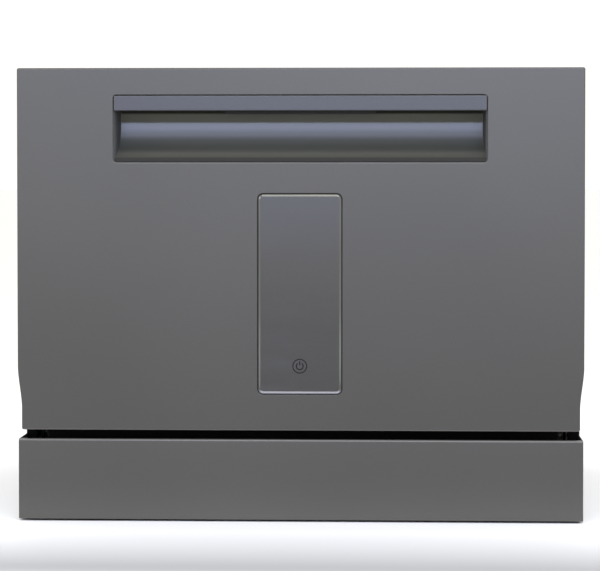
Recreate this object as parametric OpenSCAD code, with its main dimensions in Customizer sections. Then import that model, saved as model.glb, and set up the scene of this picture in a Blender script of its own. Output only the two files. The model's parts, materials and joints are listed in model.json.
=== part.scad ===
// Countertop dishwasher with a drop-down door, a wire rack and one spray arm.
// X runs across the front, Y from the front to the back and Z up.
// The origin is on the standing surface, under the middle of the cabinet.

/* [Cabinet] */
// Overall width
body_w = 550; // [500:1:660]
// Overall depth, from the face of the door to the rear edge of the casing
body_d = 500; // [460:1:600]
// Overall height, with the feet screwed right in
body_h = 438; // [410:1:530]
// Thickness of the painted steel sheet
sheet = 1.2; // [0.8:0.1:1.6]
// Free space between the casing and each side of the tub
side_space = 26; // [24:0.5:34]
// Free space between the casing and the roof of the tub
top_space = 22.8; // [20:0.2:34]
// Distance from the rear edge of the casing to the inside of the tub
back_space = 24; // [20:1:40]
// Height of the plinth panel
plinth_h = 77.8; // [70:0.2:95]
// Gap under the plinth panel
plinth_lift = 2; // [1:0.5:4]
// Step in from the casing to the plinth on each side
plinth_step = 2.5; // [1:0.5:5]

/* [Door] */
// Thickness of the door
door_t = 50; // [47:1:60]
// Dark gap between the plinth and the door
door_slot = 8.7; // [7:0.1:12]
// Gap between the back of the door and the casing
door_gap = 2; // [1.5:0.5:4]
// How much narrower each side of the door is at its foot
door_step = 5; // [2:0.5:8]
// Height of the foot of the door below that step
step_low = 34; // [30:1:40]
// Height over which the step runs out
step_run = 28; // [16:1:40]
// Radius along the top and bottom edges of the door
door_edge = 3; // [1:0.5:4]
// Distance from the hinge axis to the back of the door and to its lower edge
hinge_back = 22; // [20:0.5:24]
// Radius of the hinge pins
hinge_pin_r = 4; // [3:0.5:5]
// Radial clearance of pins and axles in their holes
run_fit = 0.05; // [0.02:0.01:0.1]

/* [Handle] */
// Width of the handle recess
recess_w = 363; // [300:1:400]
// Height of the handle recess
recess_h = 64.3; // [60:0.1:80]
// Distance from the top of the door to the recess
recess_drop = 26; // [24:1:40]
// Depth of the recess, which is also the radius of its scoop
recess_depth = 42.3; // [36:0.1:43]
// Height of the grip strip across the top of the recess
grip_h = 16.8; // [12:0.2:22]
// Width of the release paddle behind the grip
paddle_w = 145; // [100:1:200]
// Seam round parts that are let into the face of the door
seam = 0.6; // [0.4:0.1:1]

/* [Control panel] */
// Width of the glass
glass_w = 80.4; // [60:0.2:120]
// Height of the glass
glass_h = 192.5; // [150:0.5:200]
// Height of the glass above the lower edge of the door
glass_rise = 35.5; // [30:0.5:45]
// Corner radius of the glass
glass_r = 5; // [2:0.5:8]
// Bevel round the glass
glass_bevel = 1.2; // [0.5:0.1:1.5]

/* [Tub and washing parts] */
// Thickness of the tub and the inner door
tub_wall = 1; // [0.8:0.1:1.2]
// Depth of the tub's trough below the ledges that the rack rolls on
trough = 14.5; // [12:0.5:18]
// Radius of the tub's upper corners
tub_r = 30; // [15:1:45]
// Length of each blade of the spray arm
arm_r = 165; // [120:1:185]
// Radius of the filter plate
filter_r = 74; // [60:1:76]
// Radius of the filter cup
cup_r = 32; // [26:1:36]

/* [Rack] */
// Gap between the tub and the centre of the rack's side wires
rack_side = 22.8; // [21:0.2:30]
// Height of the rack's walls above its floor
rack_h = 92; // [70:1:110]
// Radius of the rack's wires
wire_r = 2; // [1.5:0.1:2.4]
// Radius of the rack's rim wire
rim_r = 2.5; // [2:0.1:3]
// Bend radius where floor wires turn up into the walls
bend_r = 20; // [16:1:24]
// Radius of the rack's wheels
wheel_r = 12.5; // [10:0.5:14]
// Number of wires along the rack's floor
wires_long = 9; // [5:2:13]
// Number of wires across the rack's floor
wires_cross = 7; // [5:1:9]
// Number of tines in each row
tines = 11; // [6:1:13]
// Height of the tines
tine_h = 72; // [40:1:90]

/* [Hidden] */
$fn = 48;
half_w = body_w / 2;
front_y = -body_d / 2;
rear_y = body_d / 2;
near = 0.3; // gap between pieces that move past each other
case_y = front_y + door_t + door_gap; // front edge of the casing
case_z = 6; // lower edge of the casing and underside of the base
plinth_top = plinth_lift + plinth_h;
door_z = plinth_top + door_slot;
door_back = front_y + door_t;
hinge_y = door_back - hinge_back;
hinge_z = door_z + hinge_back;

// Tub: the ledges are flush with the inner door when it lies open
tub_half = half_w - sheet - side_space - tub_wall;
ledge_z = hinge_z + hinge_back;
floor_z = ledge_z - trough;
roof_z = body_h - sheet - top_space - tub_wall;
tub_front = case_y + 2;
tub_back = rear_y - back_space;
ledge_in = tub_half - 34.8; // inner edge of each ledge
trough_half = ledge_in - 7;
flange = 6; // width of the tub's front flange, which carries the gasket
hub = [0, (tub_front + tub_back) / 2]; // centre of the spray arm
filter_at = [75, hub.y - 75]; // centre of the filter
salt_at = [-tub_half + 70, hub.y + 105]; // centre of the salt filler
float_at = [trough_half - 22, tub_front + 62]; // centre of the float

// Base
base_half = half_w - plinth_step - sheet - near;
base_wall = 2.5;
base_rear = rear_y - 25.5; // outer face of the rear wall, with the connections
base_top = 60; // upper edge of the side walls
front_wall_y = door_back + 1; // wall behind the gap over the plinth
foot_x = half_w - 40;
foot_y = [front_y + 34, base_rear - 32];
foot_r = 18;
foot_stem = 4;
foot_boss = 34; // top of the bosses that hold the feet
cradle_fit = 0.1; // free space between a round part and its cradle

// Hinge: a fixed bracket carries the pin, and the door's arm turns on it
arm_x = [256 - 275, 258.5 - 275] + [half_w, half_w];
bracket_x = [arm_x[1] + 2.5, arm_x[1] + 5];
arm_hub = 9;
tail = 45; // from the hinge axis to the spring hole
tail_hole = 2.6;
tail_y = hinge_y + tail * cos(45);
tail_z = hinge_z - tail * sin(45);
spring_x = (arm_x[0] + arm_x[1]) / 2;
post_y = hinge_y + 282; // post on the base that holds the spring's far end
post_z = 26;
post_r = 3;

// Rack
rack_half = tub_half - rack_side;
rack_front = tub_front + 24;
rack_back = tub_back - 30;
rack_z = ledge_z + 26.5; // centre of the long wires
cross_z = rack_z - 2 * wire_r + 0.6; // centre of the cross wires
rack_top = rack_z + rack_h;
rack_mid = rack_z + 46;
corner_r = 24; // bend radius of the rim at the rack's corners
wheel_y = [hinge_y + 145, rack_back - 46];
wheel_z = ledge_z + near + wheel_r;
wheel_w = 10.4;
axle_r = 3;
bracket_out = rack_half + 5; // outer face of the wheel brackets
wheel_in = bracket_out + 0.8;

// Latch
paddle_y = front_y + 16; // pivot of the paddle
paddle_z = body_h - 20;
pawl_y = paddle_y + 15;
pawl_z = paddle_z + 1;
striker_z = body_h - 10;

paint = "#74747a";
steel = "#b9bcc0";
zinc = "#a3a6aa";
dark = "#2b2c2e";
grey = "#8d9196";
white = "#d8dadb";

// ---- Helpers ----

// Extrude an outline drawn in Y and Z along X
module along_x(x0, x1) translate([x0, 0, 0]) rotate([90, 0, 90]) linear_extrude(height = x1 - x0) children();
// Extrude an outline drawn in X and Z along Y
module along_y(y0, y1) translate([0, y1, 0]) rotate([90, 0, 0]) linear_extrude(height = y1 - y0) children();
// Extrude an outline drawn in X and Y along Z
module along_z(z0, z1) translate([0, 0, z0]) linear_extrude(height = z1 - z0) children();

// Rectangle between two corners
module box2(a, b) translate(a) square(b - a);
// Block between two corners
module box3(a, b) translate(a) cube(b - a);
// Rectangle between two corners, with true arcs of radius r at its corners
module round2(a, b, r) {
  box2([a.x + r, a.y], [b.x - r, b.y]);
  box2([a.x, a.y + r], [b.x, b.y - r]);
  for (x = [a.x + r, b.x - r], y = [a.y + r, b.y - r]) translate([x, y]) circle(r);
}
// Cylinder along X, Y or Z from one end to the other
module rod_x(x0, x1, y, z, r) translate([x0, y, z]) rotate([0, 90, 0]) cylinder(h = x1 - x0, r = r);
module rod_y(x, y0, y1, z, r) translate([x, y0, z]) rotate([-90, 0, 0]) cylinder(h = y1 - y0, r = r);
module rod_z(x, y, z0, z1, r) translate([x, y, z0]) cylinder(h = z1 - z0, r = r);
// Slot outline: two circles of radius r joined by straight sides
module slot2(a, b, r) {
  run = norm(b - a);
  turn = atan2(b.y - a.y, b.x - a.x);
  translate(a) rotate(turn) translate([0, -r]) square([run, 2 * r]);
  translate(a) circle(r);
  translate(b) circle(r);
}
module both_sides() {
  children();
  mirror([1, 0, 0]) children();
}

// ---- Cabinet shells ----

// Outline of the casing seen from the front, open at its lower edge
module casing_outline(inset) {
  r = 4 - min(inset, 3);
  w = half_w - inset;
  top = body_h - inset;
  box2([-w, case_z], [w, top - r]);
  box2([r - w, case_z], [w - r, top]);
  for (x = [r - w, w - r]) translate([x, top - r]) circle(r);
}

// Painted wrap over the top and both sides, with a flange turned in round the door opening
module outer_casing() color(paint) {
  mouth = tub_half + flange + 1.5;
  difference() {
    along_y(case_y, rear_y) casing_outline(0);
    along_y(case_y + sheet, rear_y + 1) {
      casing_outline(sheet);
      box2([sheet - half_w, case_z - 1], [half_w - sheet, case_z + 1]);
    }
    along_y(case_y - 1, case_y + sheet + 1) {
      box2([-mouth, case_z - 1], [mouth, roof_z + flange + near]);
      box2([8 - half_w, case_z - 1], [half_w - 8, hinge_z + 58]);
      // the flange is narrow beside the base
      box2([-base_half - near, case_z - 1], [base_half + near, base_top + near]);
    }
  }
}

rear_face = rear_y - 3; // outer face of the rear panel
rear_low = 84; // lower edge of the rear panel
screw_x = [-250, -90, 90, 250] * body_w / 550;
screw_z = [rear_low + 14, body_h - 16];

// Outline of the rear panel, which fits inside the casing
module rear_outline(inset) intersection() {
  casing_outline(sheet + inset);
  box2([-half_w, rear_low + inset], [half_w, body_h]);
}

// Rear panel: a tray of sheet with louvres and two stiffening pads
module rear_panel() color(zinc) {
  louvre_z = body_h - 70;
  difference() {
    along_y(base_rear + 10, rear_face) rear_outline(0);
    along_y(base_rear + 9, rear_face - sheet) rear_outline(sheet);
    for (x = screw_x, z = screw_z) rod_y(x, rear_face - 3, rear_face + 1, z, 2.2);
    for (i = [0:8]) box3([-80, rear_face - 3, louvre_z - 12 * i - 5], [80, rear_face + 1, louvre_z - 12 * i]);
  }
  for (x = [-190, 190] * body_w / 550) {
    along_y(rear_face - 0.1, rear_face + 2) round2([x - 40, rear_low + 45], [x + 40, body_h - 60], 12);
  }
}

module casing_screws() color(steel) for (x = screw_x, z = screw_z) {
  rod_y(x, rear_face, rear_face + 2.2, z, 4);
  rod_y(x, rear_face - 8, rear_face, z, 2);
}

// Front plinth: a folded panel with short returns along both sides
module plinth_panel() color(paint) {
  w = half_w - plinth_step;
  r = 2;
  lip = 5; // depth of the top edge, which clears the foot of the turning door
  difference() {
    along_x(-w, w) {
      box2([front_y + r, plinth_lift], [case_y - near, plinth_top]);
      box2([front_y, plinth_lift], [front_y + 10, plinth_top - r]);
      translate([front_y + r, plinth_top - r]) circle(r);
    }
    along_x(sheet - w, w - sheet) box2([front_y + sheet, plinth_lift - 1], [case_y, plinth_top - sheet]);
    along_x(sheet - w, w - sheet) box2([front_y + lip, plinth_top - 6], [case_y, plinth_top + 1]);
  }
}

// ---- Base ----

module foot_place(i, j) translate([[-1, 1][i] * foot_x, foot_y[j], 0]) children();

// Moulded base: an open tray with ribs, bosses for the feet, posts for the door springs
module base_tray() color(dark) {
  t = base_wall;
  front = front_y + sheet + near;
  difference() {
    union() {
      box3([-base_half, front_wall_y, case_z], [base_half, base_rear, base_top]);
      box3([-base_half, front, case_z], [base_half, front_wall_y + t, base_top - 8]);
      box3([-arm_x[0] + 5, front_wall_y, case_z], [arm_x[0] - 5, front_wall_y + t, floor_z - tub_wall - 5]);
    }
    box3([t - base_half, front_wall_y + t, case_z + t], [base_half - t, base_rear - t, base_top + 1]);
    box3([t - base_half, front + t, case_z + t], [base_half - t, front_wall_y, base_top]);
    for (i = [0, 1], j = [0, 1]) foot_place(i, j) rod_z(0, 0, case_z - 1, foot_boss, foot_stem + run_fit);
    // windows in the wall behind the gap, where the door's arms swing
    both_sides() box3([arm_x[0] - 4, front_wall_y - 1, base_top - 22], [base_half - t, front_wall_y + t + 1, base_top + 1]);
    // holes for the water inlet, the drain and the mains lead
    rod_y(inlet_at.x, base_rear - t - 1, base_rear + 1, inlet_at.y, 13);
    rod_y(drain_at.x, base_rear - t - 1, base_rear + 1, drain_at.y, 11);
    rod_y(gland_at.x, base_rear - t - 1, base_rear + 1, gland_at.y, 8);
  }
  for (i = [0, 1], j = [0, 1]) foot_place(i, j) difference() {
    rod_z(0, 0, case_z + t / 2, foot_boss, 11);
    rod_z(0, 0, case_z, foot_boss + 1, foot_stem + run_fit);
  }
  // floor ribs
  for (y = [front_wall_y + 45, base_rear - 50]) {
    box3([t / 2 - base_half, y, case_z + t / 2], [base_half - t / 2, y + 2, case_z + 12]);
  }
  // posts for the springs
  both_sides() {
    rod_x(spring_x - 6, base_half - t / 2, post_y, post_z, post_r);
    rod_x(spring_x - 8, spring_x - 6, post_y, post_z, post_r + 2);
  }
  // cradle under the pump motor
  for (x = [-118, -62]) difference() {
    box3([x, pump_at.y - 26, case_z + t / 2], [x + 4, pump_at.y + 26, pump_at[2] - 10]);
    rod_x(x - 1, x + 5, pump_at.y, pump_at[2], motor_r + cradle_fit);
  }
  // stand under the drain pump
  difference() {
    box3([filter_at.x - 16, drain_pump_y + 14, case_z + t / 2], [filter_at.x + 16, drain_pump_y + 18, drain_pump_z - 8]);
    rod_y(filter_at.x, drain_pump_y, drain_pump_y + 30, drain_pump_z, drain_r + cradle_fit);
  }
  // saddles under the flow heater
  for (y = [heater_y + 16, heater_y + 84]) difference() {
    box3([heater_x - 14, y, case_z + t / 2], [heater_x + 14, y + 4, heater_z - 8]);
    rod_y(heater_x, y - 1, y + 5, heater_z, heater_r + cradle_fit);
  }
}

module foot(i, j) color(dark) foot_place(i, j) {
  rod_z(0, 0, 0, 2, foot_r - 1.5);
  rod_z(0, 0, 2, case_z - near, foot_r);
  rod_z(0, 0, case_z - near, foot_boss - 4, foot_stem);
}

// ---- Tub ----

// Cross-section of the tub, grown by a wall thickness: ledges at the sides and a trough between
module tub_section(grow) {
  r = tub_r + grow;
  w = tub_half + grow;
  box2([-w, ledge_z - grow], [w, roof_z + grow - r]);
  box2([r - w, roof_z - tub_r], [w - r, roof_z + grow]);
  for (s = [-1, 1]) translate([s * (w - r), roof_z + grow - r]) intersection() {
    circle(r);
    translate([s > 0 ? 0 : -r, 0]) square(r);
  }
  polygon([
    [-ledge_in - grow * 0.6, ledge_z], [-trough_half - grow, floor_z - grow],
    [trough_half + grow, floor_z - grow], [ledge_in + grow * 0.6, ledge_z]]);
}

// Stainless tub, open at the front, with a flange that holds the gasket
module tub_shell() color(steel) {
  t = tub_wall;
  difference() {
    union() {
      along_y(tub_front, tub_back + t) tub_section(t);
      along_y(tub_front, tub_front + t) difference() {
        tub_section(flange);
        box2([-half_w, floor_z - 20], [half_w, floor_z - t]);
      }
    }
    along_y(tub_front - 1, tub_back) tub_section(0);
    rod_z(filter_at.x, filter_at.y, floor_z - 5, floor_z + 1, filter_r - 8);
    rod_z(hub.x, hub.y, floor_z - 5, floor_z + 1, 15);
    rod_z(salt_at.x, salt_at.y, floor_z - 5, floor_z + 1, 24);
    rod_z(float_at.x, float_at.y, floor_z - 5, floor_z + 1, 5);
  }
  // pressed beads across the rear wall
  for (z = [floor_z + 90, floor_z + 150, floor_z + 210]) {
    along_y(tub_back - 2, tub_back + t / 2) slot2([70 - tub_half, z], [tub_half - 70, z], 6);
  }
}

// Rubber seal round the sides and the roof of the tub's mouth
module door_gasket() color(dark) difference() {
  along_y(door_back + near, tub_front) tub_section(flange - 0.2);
  along_y(door_back - 1, tub_front + 1) tub_section(0.8);
  along_y(door_back - 1, tub_front + 1) box2([-half_w, 0], [half_w, ledge_z + 10]);
}

// Rubber lip along the sill, which follows the rounded foot of the door
module sill_seal() color(dark) difference() {
  union() {
    along_x(-tub_half, tub_half) box2([front_wall_y - 0.6, hinge_z + 1.5], [tub_front, floor_z - tub_wall]);
    along_x(-tub_half, tub_half) box2([front_wall_y, floor_z - tub_wall - 5], [tub_front + 2, floor_z - tub_wall]);
  }
  rod_x(-half_w, half_w, hinge_y, hinge_z, hinge_back + near);
}

// ---- Washing parts under and in the tub ----

pump_at = [0, filter_at.y, 58]; // mouth of the wash pump, which faces +X
motor_r = 30;
drain_pump_y = filter_at.y + 62;
drain_pump_z = 44;
drain_r = 21;
heater_x = -70;
heater_y = pump_at.y + 104;
heater_z = 62;
heater_r = 19;
inlet_at = [-190, 44]; // x and z of the water inlet
drain_at = [190, 44]; // x and z of the drain spigot
gland_at = [120, 30]; // x and z of the mains lead's gland

// Moulded bowl that hangs under the tub and holds the filter
module sump_bowl() color(dark) {
  under = floor_z - tub_wall;
  translate([filter_at.x, filter_at.y, 0]) difference() {
    union() {
      rotate_extrude() polygon([
        [0, 26], [36, 26], [40, 30], [44, 66], [filter_r - 6, under - 12],
        [filter_r - 6, under - 4], [filter_r + 6, under - 4], [filter_r + 6, under], [0, under]]);
      rod_x(pump_at.x - filter_at.x, -30, 0, pump_at[2], 15);
      rod_y(0, 30, drain_pump_y - filter_at.y, drain_pump_z, 12);
    }
    rotate_extrude() polygon([
      [0, 29], [34, 29], [37, 32], [41, 67], [filter_r - 9, under - 13], [filter_r - 9, under + 1],
      [0, under + 1]]);
    rod_x(pump_at.x - filter_at.x - 1, -20, 0, pump_at[2], 12);
    rod_y(0, 20, drain_pump_y - filter_at.y + 1, drain_pump_z, 9);
  }
}

// Perforated steel plate that slopes into the filter cup
module filter_plate() color(steel) translate([filter_at.x, filter_at.y, 0]) difference() {
  rotate_extrude() polygon([
    [cup_r + 1.2, floor_z - 3], [filter_r - 6, floor_z + 0.4], [filter_r, floor_z + 0.4],
    [filter_r, floor_z + 1.4], [filter_r - 6, floor_z + 1.4], [cup_r + 1.2, floor_z - 2]]);
  for (ring = [0:2], a = [0:15:345]) {
    rotate(a + 7.5 * ring) rod_z(cup_r + 9 + 9 * ring, 0, floor_z - 6, floor_z + 4, 1.6);
  }
}

// Removable cup with a mesh body and a finger grip across its top
module filter_cup() color(grey) translate([filter_at.x, filter_at.y, 0]) {
  top = floor_z + 4;
  difference() {
    union() {
      rod_z(0, 0, floor_z - 44, top - 3, cup_r);
      rod_z(0, 0, floor_z - 1.3, top - 1, cup_r + 5);
    }
    rod_z(0, 0, floor_z - 42, top + 1, cup_r - 2);
    for (row = [0:2], a = [0:45:315]) rotate(a + 22.5 * row) {
      translate([0, 0, floor_z - 36 + 10 * row]) cube([2 * cup_r, 6, 6]);
    }
  }
  box3([1 - cup_r, -2, floor_z - 8], [cup_r - 1, 2, top + 2]);
}

// Fixed hub that feeds the spray arm from below
module spray_hub() color(dark) translate([hub.x, hub.y, 0]) difference() {
  union() {
    rod_z(0, 0, floor_z - 14, floor_z + 20, 12);
    rod_z(0, 0, floor_z, floor_z + 3, 21);
    rod_z(0, 0, floor_z - 6, floor_z - tub_wall, 19);
  }
  rod_z(0, 0, floor_z - 15, floor_z + 21, hose_r - 1);
}

// Outline of one blade: wide at the hub, narrow at its round tip
module blade(root, tip, reach) {
  polygon([[0, -root], [reach, -tip], [reach, tip], [0, root]]);
  translate([reach, 0]) circle(tip);
}

// Two-bladed spray arm with a raised water channel and jets along it
module spray_arm() color(grey) translate([hub.x, hub.y, 0]) {
  low = floor_z + 11;
  difference() {
    union() {
      rod_z(0, 0, floor_z + 3 + near, low + 11, 22);
      along_z(low, low + 7) for (a = [12, 192]) rotate(a) blade(20, 13, arm_r - 13);
      along_z(low + 7, low + 10) for (a = [12, 192]) rotate(a) blade(14, 7, arm_r - 22);
    }
    rod_z(0, 0, floor_z + 3, floor_z + 20 + near, 12 + run_fit);
    for (a = [12, 192], i = [0:5]) rotate(a) {
      translate([arm_r - 24 - 20 * i, i % 2 == 0 ? 3 : -3, low + 8]) rotate([i % 2 == 0 ? 20 : -20, 0, 0]) cylinder(h = 6, r = 1.5);
    }
  }
}

// Wash pump: volute with an inlet that faces the sump and an outlet that faces up
module wash_pump() color(dark) {
  rod_x(pump_at.x - 34, pump_at.x, pump_at.y, pump_at[2], 34);
  rod_x(pump_at.x - 40, pump_at.x - 34, pump_at.y, pump_at[2], 28);
  rod_y(pump_at.x - 17, pump_at.y, pump_at.y + 38, pump_at[2] + 20, 10);
}

// Pump motor: finned stator between two end shields
module pump_motor() color(zinc) {
  x1 = pump_at.x - 40;
  rod_x(x1 - 90, x1, pump_at.y, pump_at[2], motor_r - 3);
  for (x = [x1 - 88:16:x1 - 8]) rod_x(x, x + 8, pump_at.y, pump_at[2], motor_r);
  rod_x(x1 - 96, x1 - 90, pump_at.y, pump_at[2], 12);
}

// Drain pump on the rear stub of the sump
module drain_pump() color(dark) {
  rod_y(filter_at.x, drain_pump_y, drain_pump_y + 26, drain_pump_z, drain_r);
  rod_y(filter_at.x, drain_pump_y + 26, drain_pump_y + 54, drain_pump_z, drain_r - 5);
  rod_x(filter_at.x, filter_at.x + 34, drain_pump_y + 13, drain_pump_z, 8);
}

// Flow heater: a tube in which the water is heated on its way to the hub
module flow_heater() color(steel) {
  rod_y(heater_x, heater_y, heater_y + 104, heater_z, heater_r);
  rod_y(heater_x, heater_y - 8, heater_y, heater_z, 10);
  rod_y(heater_x, heater_y + 104, heater_y + 112, heater_z, 10);
}

// Softener tank with the neck of the salt filler through the tub's floor
module softener_tank() color(white) {
  low = case_z + base_wall + 12;
  difference() {
    union() {
      along_z(low, floor_z - 18) round2([salt_at.x - 48, salt_at.y - 62], [salt_at.x + 44, salt_at.y + 52], 14);
      rod_z(salt_at.x, salt_at.y, floor_z - 19, floor_z + 8, 22);
      rod_z(salt_at.x, salt_at.y, floor_z, floor_z + 2, 28);
      rod_z(salt_at.x, salt_at.y, floor_z - 6, floor_z - tub_wall, 28);
    }
    along_z(low + 3, floor_z - 21) round2([salt_at.x - 45, salt_at.y - 59], [salt_at.x + 41, salt_at.y + 49], 11);
    rod_z(salt_at.x, salt_at.y, floor_z - 25, floor_z + 9, 18);
  }
  for (x = [salt_at.x - 36, salt_at.x + 30], y = [salt_at.y - 50, salt_at.y + 40]) {
    rod_z(x, y, case_z + base_wall, low, 5);
  }
}

module salt_cap() color(grey) translate([salt_at.x, salt_at.y, 0]) {
  rod_z(0, 0, floor_z + 8 + near, floor_z + 13, 27);
  rod_z(0, 0, floor_z - 2, floor_z + 8 + near, 18 - run_fit);
  difference() {
    rod_z(0, 0, floor_z + 2 + near, floor_z + 8 + near, 27);
    rod_z(0, 0, floor_z + 2, floor_z + 8 + near, 22 + near);
    rod_z(0, 0, floor_z + 7, floor_z + 8 + near, 26);
  }
  box3([-20, -3, floor_z + 12], [20, 3, floor_z + 19]);
}

// Flat tank beside the tub, where the inlet water falls through air
module air_break() color(white) {
  x0 = -tub_half - tub_wall - 15;
  y0 = hub.y - 15;
  difference() {
    along_x(x0, -tub_half - tub_wall) round2([y0, floor_z + 40], [y0 + 180, roof_z - 40], 16);
    along_x(x0 + 2, -tub_half - tub_wall - 2) for (i = [0:2]) {
      round2([y0 + 6 + 58 * i, floor_z + 46], [y0 + 58 + 58 * i, roof_z - 46], 10);
    }
  }
}

// Smooth curve through a list of points, with a few steps between each two
function through(p, steps = 5) = let(n = len(p)) [
  for (i = [0:n - 2], k = [0:steps - 1])
    let(a = p[max(i - 1, 0)], b = p[i], c = p[i + 1], d = p[min(i + 2, n - 1)], t = k / steps)
    (2 * b + t * (c - a) + t * t * (2 * a - 5 * b + 4 * c - d) + t * t * t * (3 * b - a - 3 * c + d)) / 2,
  p[n - 1]];

hose_r = 8;
// Rubber hoses between the pumps, the heater, the hub and the rear wall
module pump_hoses() color(dark) {
  pump_out = [pump_at.x - 17, pump_at.y + 38, pump_at[2] + 20];
  heater_in = [heater_x, heater_y - 8, heater_z];
  heater_out = [heater_x, heater_y + 112, heater_z];
  hub_in = [hub.x, hub.y, floor_z - 14];
  drain_out = [filter_at.x + 34, drain_pump_y + 13, drain_pump_z];
  spigot = [drain_at.x, base_rear - base_wall - 12, drain_at.y];
  swept(through([pump_out, pump_out + [0, 5, 0], pump_out + [0, 12, 0], pump_out + [-11, 26, -4],
    heater_in + [18, -24, 5], heater_in + [0, -12, 0], heater_in + [0, -5, 0], heater_in]), hose_r, 10);
  swept(through([heater_out, heater_out + [0, 5, 0], heater_out + [0, 12, 0], heater_out + [8, 26, 2],
    heater_out + [26, 32, 6], heater_out + [44, 24, 10], heater_out + [54, 4, 14], hub_in + [-10, 115, -24],
    hub_in + [-6, 80, -20], hub_in + [-3, 48, -20], hub_in + [0, 25, -20], hub_in + [0, 9, -18],
    hub_in + [0, 0, -9], hub_in + [0, 0, -4], hub_in]), hose_r, 10);
  swept(through([drain_out, drain_out + [5, 0, 0], drain_out + [12, 0, 0], drain_out + [31, 7, 0],
    drain_out + [49, 25, 0], (drain_out + spigot) / 2 + [24, -14, 0], spigot + [-6, -70, 0],
    spigot + [-2, -36, 0], spigot + [0, -12, 0], spigot + [0, -5, 0], spigot]), hose_r, 10);
}

// Solenoid valve with a threaded water inlet
module inlet_valve() color(white) {
  x = inlet_at.x;
  z = inlet_at.y;
  difference() {
    union() {
      rod_y(x, base_rear - 22, base_rear - base_wall, z, 17);
      rod_y(x, base_rear - base_wall, base_rear, z, 13 - run_fit);
      rod_y(x, base_rear, base_rear + 4, z, 17);
      rod_y(x, base_rear + 4, base_rear + 18, z, 13.2);
      rod_z(x, base_rear - 12, z, z + 34, 9);
    }
    rod_y(x, base_rear - 18, base_rear + 19, z, 9);
  }
}

// Drain spigot with hose barbs
module drain_spigot() color(dark) {
  x = drain_at.x;
  z = drain_at.y;
  difference() {
    union() {
      rod_y(x, base_rear - base_wall - 12, base_rear - base_wall, z, 14);
      rod_y(x, base_rear - base_wall, base_rear, z, 11 - run_fit);
      rod_y(x, base_rear, base_rear + 3, z, 14);
      rod_y(x, base_rear + 3, base_rear + 20, z, 9.5);
    }
    rod_y(x, base_rear - base_wall - 9, base_rear + 21, z, 7);
  }
}

module power_gland() color(dark) {
  x = gland_at.x;
  z = gland_at.y;
  difference() {
    union() {
      rod_y(x, base_rear - base_wall - 6, base_rear - base_wall, z, 11);
      rod_y(x, base_rear - base_wall, base_rear, z, 8 - run_fit);
      rod_y(x, base_rear, base_rear + 8, z, 11);
    }
    rod_y(x, base_rear - base_wall - 7, base_rear + 9, z, 4);
  }
}

module float_switch() color(white) translate([float_at.x, float_at.y, 0]) difference() {
  union() {
    box3([-12, -10, floor_z - 26], [12, 10, floor_z - 6]);
    rod_z(0, 0, floor_z - 6, floor_z - tub_wall, 9);
  }
  rod_z(0, 0, floor_z - 20, floor_z, 3 + run_fit);
}

module float_dome() color(white) translate([float_at.x, float_at.y, 0]) {
  difference() {
    rod_z(0, 0, floor_z + near, floor_z + 20, 16);
    rod_z(0, 0, floor_z, floor_z + 17, 13);
  }
  rod_z(0, 0, floor_z - 10, floor_z + 18, 3);
}

// ---- Hinge and door springs ----

// Fixed bracket with the hinge pin; it reaches into a slot in the foot of the door
module hinge_bracket() color(zinc) {
  root_y = front_wall_y + base_wall + 34;
  along_x(bracket_x[0], bracket_x[1]) difference() {
    union() {
      translate([hinge_y, hinge_z]) circle(7);
      box2([hinge_y, hinge_z - 6], [root_y, hinge_z + 6]);
      box2([front_wall_y + base_wall + 6, base_top - 24], [root_y, hinge_z]);
    }
    translate([front_wall_y + base_wall + 20, hinge_z - 16]) circle(5);
  }
  rod_x(arm_x[0] - 2, bracket_x[0] + 1, hinge_y, hinge_z, hinge_pin_r);
  // foot that is screwed to the side wall of the base
  box3([bracket_x[0], front_wall_y + base_wall + 6, base_top - 24], [base_half - base_wall, root_y, base_top - 21.5]);
}
module hinge_brackets() both_sides() hinge_bracket();

// Arm inside the door: it turns on the pin, and its tail pulls the spring
module hinge_arm() color(zinc) along_x(arm_x[0], arm_x[1]) difference() {
  union() {
    translate([hinge_y, hinge_z]) circle(arm_hub);
    slot2([hinge_y, hinge_z], [tail_y, tail_z], 5.5);
    box2([hinge_y - 7, hinge_z], [hinge_y + 7, hinge_z + 96]);
  }
  translate([hinge_y, hinge_z]) circle(hinge_pin_r + run_fit);
  translate([tail_y, tail_z]) circle(tail_hole);
  for (z = [hinge_z + 50, hinge_z + 80]) translate([hinge_y, z]) circle(2.5);
}
module hinge_arms() both_sides() hinge_arm();

// The part of direction u that is square to direction t
function square_to(u, t) = let(v = u - (u * t) * t) v / norm(v);

// Tube of radius r swept along points without twist, closed at both ends
module swept(points, r, sides) {
  n = len(points);
  ahead = [for (i = [0:n - 1]) let(d = points[min(i + 1, n - 1)] - points[max(i - 1, 0)]) d / norm(d)];
  aside = [for (i = 0, u = square_to([0.2, 0.3, 1], ahead[0]); i < n;
    i = i + 1, u = square_to(u, ahead[min(i, n - 1)])) u];
  ring = [for (i = [0:n - 1], k = [0:sides - 1])
    let(u = aside[i], v = cross(ahead[i], u), a = 360 * k / sides)
    points[i] + r * (cos(a) * u + sin(a) * v)];
  skin = [for (i = [0:n - 2], k = [0:sides - 1])
    let(a = i * sides + k, b = i * sides + (k + 1) % sides)
    [a, a + sides, b + sides, b]];
  caps = [[for (k = [0:sides - 1]) k], [for (k = [sides - 1:-1:0]) (n - 1) * sides + k]];
  polyhedron(ring, concat(skin, caps));
}

spring_turns = 18;
spring_r = 5.4;
spring_wire = 1;
spring_steps = 10;
spring_pitch = 4;

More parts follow.
